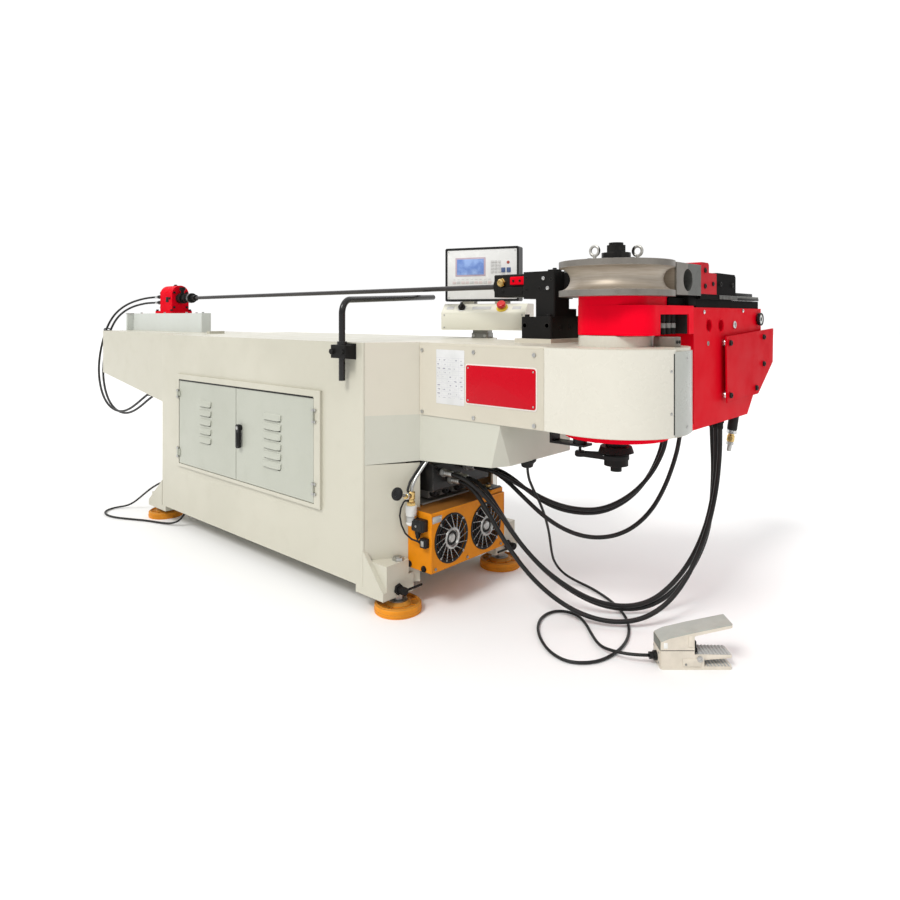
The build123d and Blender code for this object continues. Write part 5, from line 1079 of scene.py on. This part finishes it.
k = Kit("arm_trim")
k.lathe((139, 655, 1065), (1, 0, 0), [(0, 0), (13.8, 0), (13.8, 15.5), (15.5, 16.2), (15.5, 19.5), (13.5, 21.5), (8, 21.5), (7, 17), (0, 17)], M["bright"], 30)
k.lathe((140, 395, 1000), (1, 0, 0), [(0, 0), (8.8, 0), (8.8, 15), (8, 17), (4.5, 17), (4, 12), (0, 12)], M["dull_zinc"], 24)
for y, z in ((354, 1114), (748, 1120)):
    k.lathe((155, y, z), (1, 0, 0), [(0, 0), (7.5, 0), (7.5, 3.5), (5, 5.5), (0, 6)], M["bright"], 24)
for y, z in ((545, 998), (548, 800)):
    k.lathe((155, y, z), (1, 0, 0), [(10.1, 0.2), (13.5, 0.2), (13.5, 14), (12, 16), (10.1, 16)], M["bright"], 28, loop=True)
# red rims round two holes, with dark cups inside as painted shade at the bottom of the holes
for y, z in ((404, 1065), (520, 1064)):
    k.lathe((155, y, z), (1, 0, 0), [(22.2, -6), (23.4, 0.4), (26, 1.4), (27.5, 0.3), (27.5, -0.4), (24, -6)], M["red"], 40, loop=True)
    k.lathe((128, y, z), (1, 0, 0), [(0, 0), (21.5, 0), (21.5, 7), (8, 7), (7, 3), (0, 3)], M["dark"], 32)
# round pressure gauge with a pale scale ring and a plain needle
k.lathe((155, 930, 1086), (1, 0, 0), [(0, 0), (15, 0), (15, 3), (25, 4), (27, 6), (27, 15), (25, 17), (22.5, 17), (21.5, 14), (0, 14)], M["black_plastic"], 48)
k.lathe((169, 930, 1086), (1, 0, 0), [(9, -0.4), (19.5, -0.4), (19.5, 0.5), (9, 0.5)], M["white_plastic"], 44, loop=True)
k.box(168.6, 170.2, 920, 940, 1084.8, 1087.2, M["black_plastic"], 0.4, turn=Matrix.Rotation(math.radians(38), 4, "X"))
k.lathe((169, 930, 1086), (1, 0, 0), [(0, 0), (3.4, 0), (3.4, 1.6), (0, 2)], M["black_plastic"], 20)
k.done("swing_arm", "bright_steel")

# screws of the side cover
k = Kit("arm_cover_screws")
for y, z in ((548, 800), (545, 998), (835, 806), (925, 1012), (925, 900)):
    k.lathe((178, y, z), (1, 0, 0), [(0, 0), (13, 0), (13, 1.6), (0, 1.6)], M["red_cover"], 28)
    k.screw((178.6, y, z), (1, 0, 0), 10.5, 9.0, M["black_oxide"])
k.done("swing_arm", "black_oxide")

# flow valve under the arm's outer end
k = Kit("arm_valve")
d = Vector((100 - 107, 785 - 795, 628 - 700)).normalized()
k.lathe((107, 795, 701), d, [(0, 0), (23, 0), (23, 9), (19.5, 12), (19.5, 66), (17, 72), (0, 72)], M["rubber"], 34)
q = Vector((107, 795, 701)) + d * 72
k.hex(tuple(q), d, 34, 14, M["bright"])
q2 = q + d * 14
k.lathe(tuple(q2), d, [(0, 0), (12, 0), (12, 6), (15, 9), (15, 30), (11, 34), (0, 34)], M["brass"], 28)
q3 = q2 + d * 34
k.hex(tuple(q3), d, 24, 12, M["zinc"])
k.lathe(tuple(q3 + d * 12), d, [(0, 0), (9, 0), (9, 22), (7.5, 26), (0, 26)], M["zinc"], 24)
k.hex((q2.x, q2.y - 12, q2.z - 18), (0.25, -0.95, 0.1), 19, 12, M["brass"])
k.done("swing_arm", "black_plastic")

k = Kit("hose_ends_arm")
for x, y, r in ((0, 399, 8), (-23, 420, 8), (46, 413, 8), (114, 572, 8.5), (138, 556, 8.5), (92, 590, 8.5)):
    k.lathe((x, y, 700.6), (0, 0, -1), [(0, 0), (r + 6.5, 0), (r + 6.5, 9), (r + 3.2, 11), (r + 3.2, 18), (r + 2.4, 19), (r + 3.2, 20), (r + 3.2, 30), (r + 1, 33), (0, 33)], M["black_oxide"], 28)
k.done("swing_arm", "bright_steel")

# screws of the bearing cap under the nose, on the arm's lower disc
k = Kit("lower_disc_bolts")
for i in range(10):
    a = 2 * math.pi * (i + 0.5) / 10
    k.screw((128 * math.cos(a), 128 * math.sin(a), 700), (0, 0, -1), 8.5, 8, M["black_oxide"])
k.done("swing_arm", "black_oxide")

# clamp cylinder held in the open back of the arm
k = Kit("clamp_drive")
k.lathe((20, 310, 930), (0, 1, 0), [(0, 0), (62, 0), (62, 22), (54, 24), (54, 200), (62, 202), (62, 224), (20, 226), (20, 238), (0, 238)], M["iron"], 44)
for a in (45, 135, 225, 315):
    ca, sa = math.cos(math.radians(a)), math.sin(math.radians(a))
    k.rod((20 + 56 * ca, 306, 930 + 56 * sa), (20 + 56 * ca, 540, 930 + 56 * sa), 6, M["zinc"])
k.lathe((20, 600, 930), (0, 1, 0), [(0, 0), (40, 0), (40, 120), (26, 124), (26, 190), (0, 190)], M["iron"], 40)
k.done("swing_arm", "motor_iron")

# ---------------------------------------------------------------- bend die and clamp
k = Kit("die_trim")
for i in range(6):
    a = math.radians(20 + 60 * i)
    x, y = 132 * math.cos(a), 132 * math.sin(a)
    if not (x > -12 and y > 86):
        k.screw((x, y, 1280), (0, 0, 1), 9, 6, M["black_oxide"])
k.ring((0, 0, 1280.2), (0, 0, 1), 62, 1.4, M["dull_zinc"], 56, 6)
k.ring((0, 0, 1280.0), (0, 0, 1), 172, 1.2, M["dull_zinc"], 80, 6)
k.done("swing_arm", "tool_steel")

k = Kit("clamp_trim")
# toothed steel strip and key bar bolted to the carriage
k.box(136, 167, 658, 905, 1161.4, 1171, M["black_oxide"], 1.2)
for i in range(30):
    y = 474 + i * 14.4
    k.box(150, 167.6, y, y + 8.6, 1169, 1177.4, M["grey_steel"], 1.4) if y > 652 else k.box(165.2, 168.2, y, y + 8.6, 1162, 1177.2, M["grey_steel"], 1.2)
k.box(104, 150, 650, 880, 1177.6, 1191, M["black_oxide"], 2.0)
k.box(110, 150, 655, 880, 1170, 1178, M["black_oxide"], 1.0)
k.screw((167, 337, 1262), (1, 0, 0), 9, 4, M["black_oxide"])
k.screw((167, 337, 1206), (1, 0, 0), 9, 4, M["black_oxide"])
k.screw((167, 409, 1216), (1, 0, 0), 8, 4, M["black_oxide"])
for y in (490, 610):
    k.screw((163, y, 1218), (1, 0, 0), 9, 5, M["black_oxide"])
k.done("clamp_slide", "black_oxide")

# ---------------------------------------------------------------- foot pedal
k = Kit("pedal_trim", PEDAL)
# grey top cover over the heel and the hood
top = [(-111.0, 88.5), (-85, 100.6), (-8, 118.7), (111.5, 142.6), (111.5, 139.0), (-7, 114.5), (-84, 96.8), (-110.5, 85.5)]
k.prism("y", -36.8, 36.8, top, M["pedal_grey"], 0.9)
# joint line round the body, end plate with screws, ribs and pivot bosses
for v in (-36.5, 36.0):
    k.box(-111, -7, v, v + 0.5, 58.8, 60.6, M["dark"], 0.1)
k.box(-114, -111, -34, 34, 11, 56, M["pedal"], 1.6)
k.box(-113.4, -111, -34, 34, 58, 87, M["pedal_edge"], 1.2)
for v in (-26, 26):
    for z in (18, 49):
        k.screw((-114, v, z), (-1, 0, 0), 3.4, 1.8, M["zinc"])
for v, s in ((-36, -1), (36, 1)):
    k.box(-102, -90, v - 0.6 if s < 0 else v - 2, v + 2 if s < 0 else v + 0.6, 66, 84, M["white_plastic"], 0.8)
    k.box(-25, -8, v - 2.2 if s < 0 else v - 1, v + 1 if s < 0 else v + 2.2, 70, 106, M["pedal"], 2.0, 3)
    k.box(-44, 14, v - 2.4 if s < 0 else v - 1, v + 1 if s < 0 else v + 2.4, 10, 34, M["pedal"], 2.0, 3)
    k.lathe((10, v, 34), (0, s, 0), [(0, 0), (9.5, 0), (9.5, 3.4), (6.5, 4.6), (3.6, 4.6), (3, 3), (0, 3)], M["zinc"], 26)
    k.screw((-34, v + s * 2.4, 18), (0, s, 0), 3.4, 1.8, M["dull_zinc"])
# rubber boot between the body and the treadle
k.box(-6.6, 3.5, -27, 27, 48, 84, M["rubber"], 2.5, 3)
k.box(3, 7, -25, 25, 50, 62, M["rubber"], 1.5)
# underside of the hood and ribbed base
for i in range(7):
    u = 36 + i * 10.6
    k.box(u, u + 5, -34, 34, 9.6, 11.2, M["tread"], 0.5)
k.done("frame", "pedal_plastic")

k = Kit("treadle_trim", PEDAL)
for v, s in ((-29, -1), (29, 1)):
    k.prism("y", v if s > 0 else v - 1.8, v + 1.8 if s > 0 else v, [(14, 27.5), (110.6, 33.5), (110.6, 43.5), (14, 45.4)], M["pedal"], 0.5)
k.prism("y", -28.6, 28.6, [(110.2, 32.8), (112.4, 33.6), (112.4, 43.2), (110.2, 44.2)], M["pedal"], 0.5)
k.done("treadle", "pedal_plastic")

# ---------------------------------------------------------------- far side and rear of the cabinet
k = Kit("service_cover")
k.prism("y", 404.6, 409, rounded(-2250, -1130, 250, 820, 14), M["panel"], 1.2)
for x in (-2226, -1958, -1690, -1422, -1154):
    for z in (274, 796):
        k.lathe((x, 409, z), (0, 1, 0), [(0, 0), (8, 0), (8, 2.2), (6, 4), (3, 4), (2.6, 2.4), (0, 2.4)], M["zinc"], 24)
for z in (448, 622):
    for x in (-2226, -1154):
        k.lathe((x, 409, z), (0, 1, 0), [(0, 0), (8, 0), (8, 2.2), (6, 4), (3, 4), (2.6, 2.4), (0, 2.4)], M["zinc"], 24)
for i in range(8):
    z = 420 + i * 34
    k.prism("x", -1800, -1580, [(408.5, z), (413.5, z + 2), (412.0, z + 15), (408.5, z + 19)], M["panel"], 0.4)
k.done("frame", "frame_paint")

# ================================================================ stage and light
floor_mat = Graph("floor_paper", 0.7, 0.0, 0.1)
floor_mat.done(floor_mat.mix(floor_mat.range(floor_mat.noise(0.8, 3, 0.5), 0.3, 0.7), (0.835, 0.835, 0.835, 1), (0.850, 0.850, 0.850, 1)))
bm = bmesh.new()
bmesh.ops.create_grid(bm, x_segments=1, y_segments=1, size=40.0)
me = bpy.data.meshes.new("studio_floor")
bm.to_mesh(me)
bm.free()
me.materials.append(floor_mat.m)
floor = bpy.data.objects.new("studio_floor", me)
scene.collection.objects.link(floor)

world = bpy.data.worlds.new("studio")
scene.world = world
world.use_nodes = True
wt = world.node_tree
way = wt.nodes.new("ShaderNodeTexCoord")
toward = wt.nodes.new("ShaderNodeVectorMath")
toward.operation = "DOT_PRODUCT"
wt.links.new(way.outputs["Generated"], toward.inputs[0])
toward.inputs[1].default_value = (-0.669, 0.743, 0.0)
height = wt.nodes.new("ShaderNodeSeparateXYZ")
wt.links.new(way.outputs["Generated"], height.inputs[0])
ramps = []
for source, a, b, lo, hi in ((toward.outputs["Value"], 0.25, 0.72, 0.50, 1.02), (height.outputs["Z"], 0.15, 0.80, 0.0, 0.55)):
    n = wt.nodes.new("ShaderNodeMapRange")
    n.interpolation_type = "SMOOTHSTEP"
    wt.links.new(source, n.inputs["Value"])
    for key, v in (("From Min", a), ("From Max", b), ("To Min", lo), ("To Max", hi)):
        n.inputs[key].default_value = v
    ramps.append(n.outputs["Result"])
total = wt.nodes.new("ShaderNodeMath")
total.operation = "ADD"
wt.links.new(ramps[0], total.inputs[0])
wt.links.new(ramps[1], total.inputs[1])
wt.links.new(total.outputs[0], wt.nodes["Background"].inputs[0])
wt.nodes["Background"].inputs[1].default_value = 1.0


def sun(name, azimuth, elevation, strength, angle, colour=(1, 1, 1)):
    """Broad far light: azimuth 0 is in front of the doors, 90 beyond the nose."""
    d = bpy.data.lights.new(name, "SUN")
    d.energy, d.angle, d.color = strength * math.pi, math.radians(angle), colour
    o = bpy.data.objects.new(name, d)
    scene.collection.objects.link(o)
    a, e = math.radians(azimuth), math.radians(elevation)
    to = Vector((math.sin(a) * math.cos(e), -math.cos(a) * math.cos(e), math.sin(e)))
    o.rotation_euler = (-to).to_track_quat("-Z", "Y").to_euler()
    return o


sun("key", 2, 47, 0.56, 18, (1.0, 0.99, 0.965))
sun("fill", 80, 32, 0.03, 60, (0.97, 0.985, 1.0))
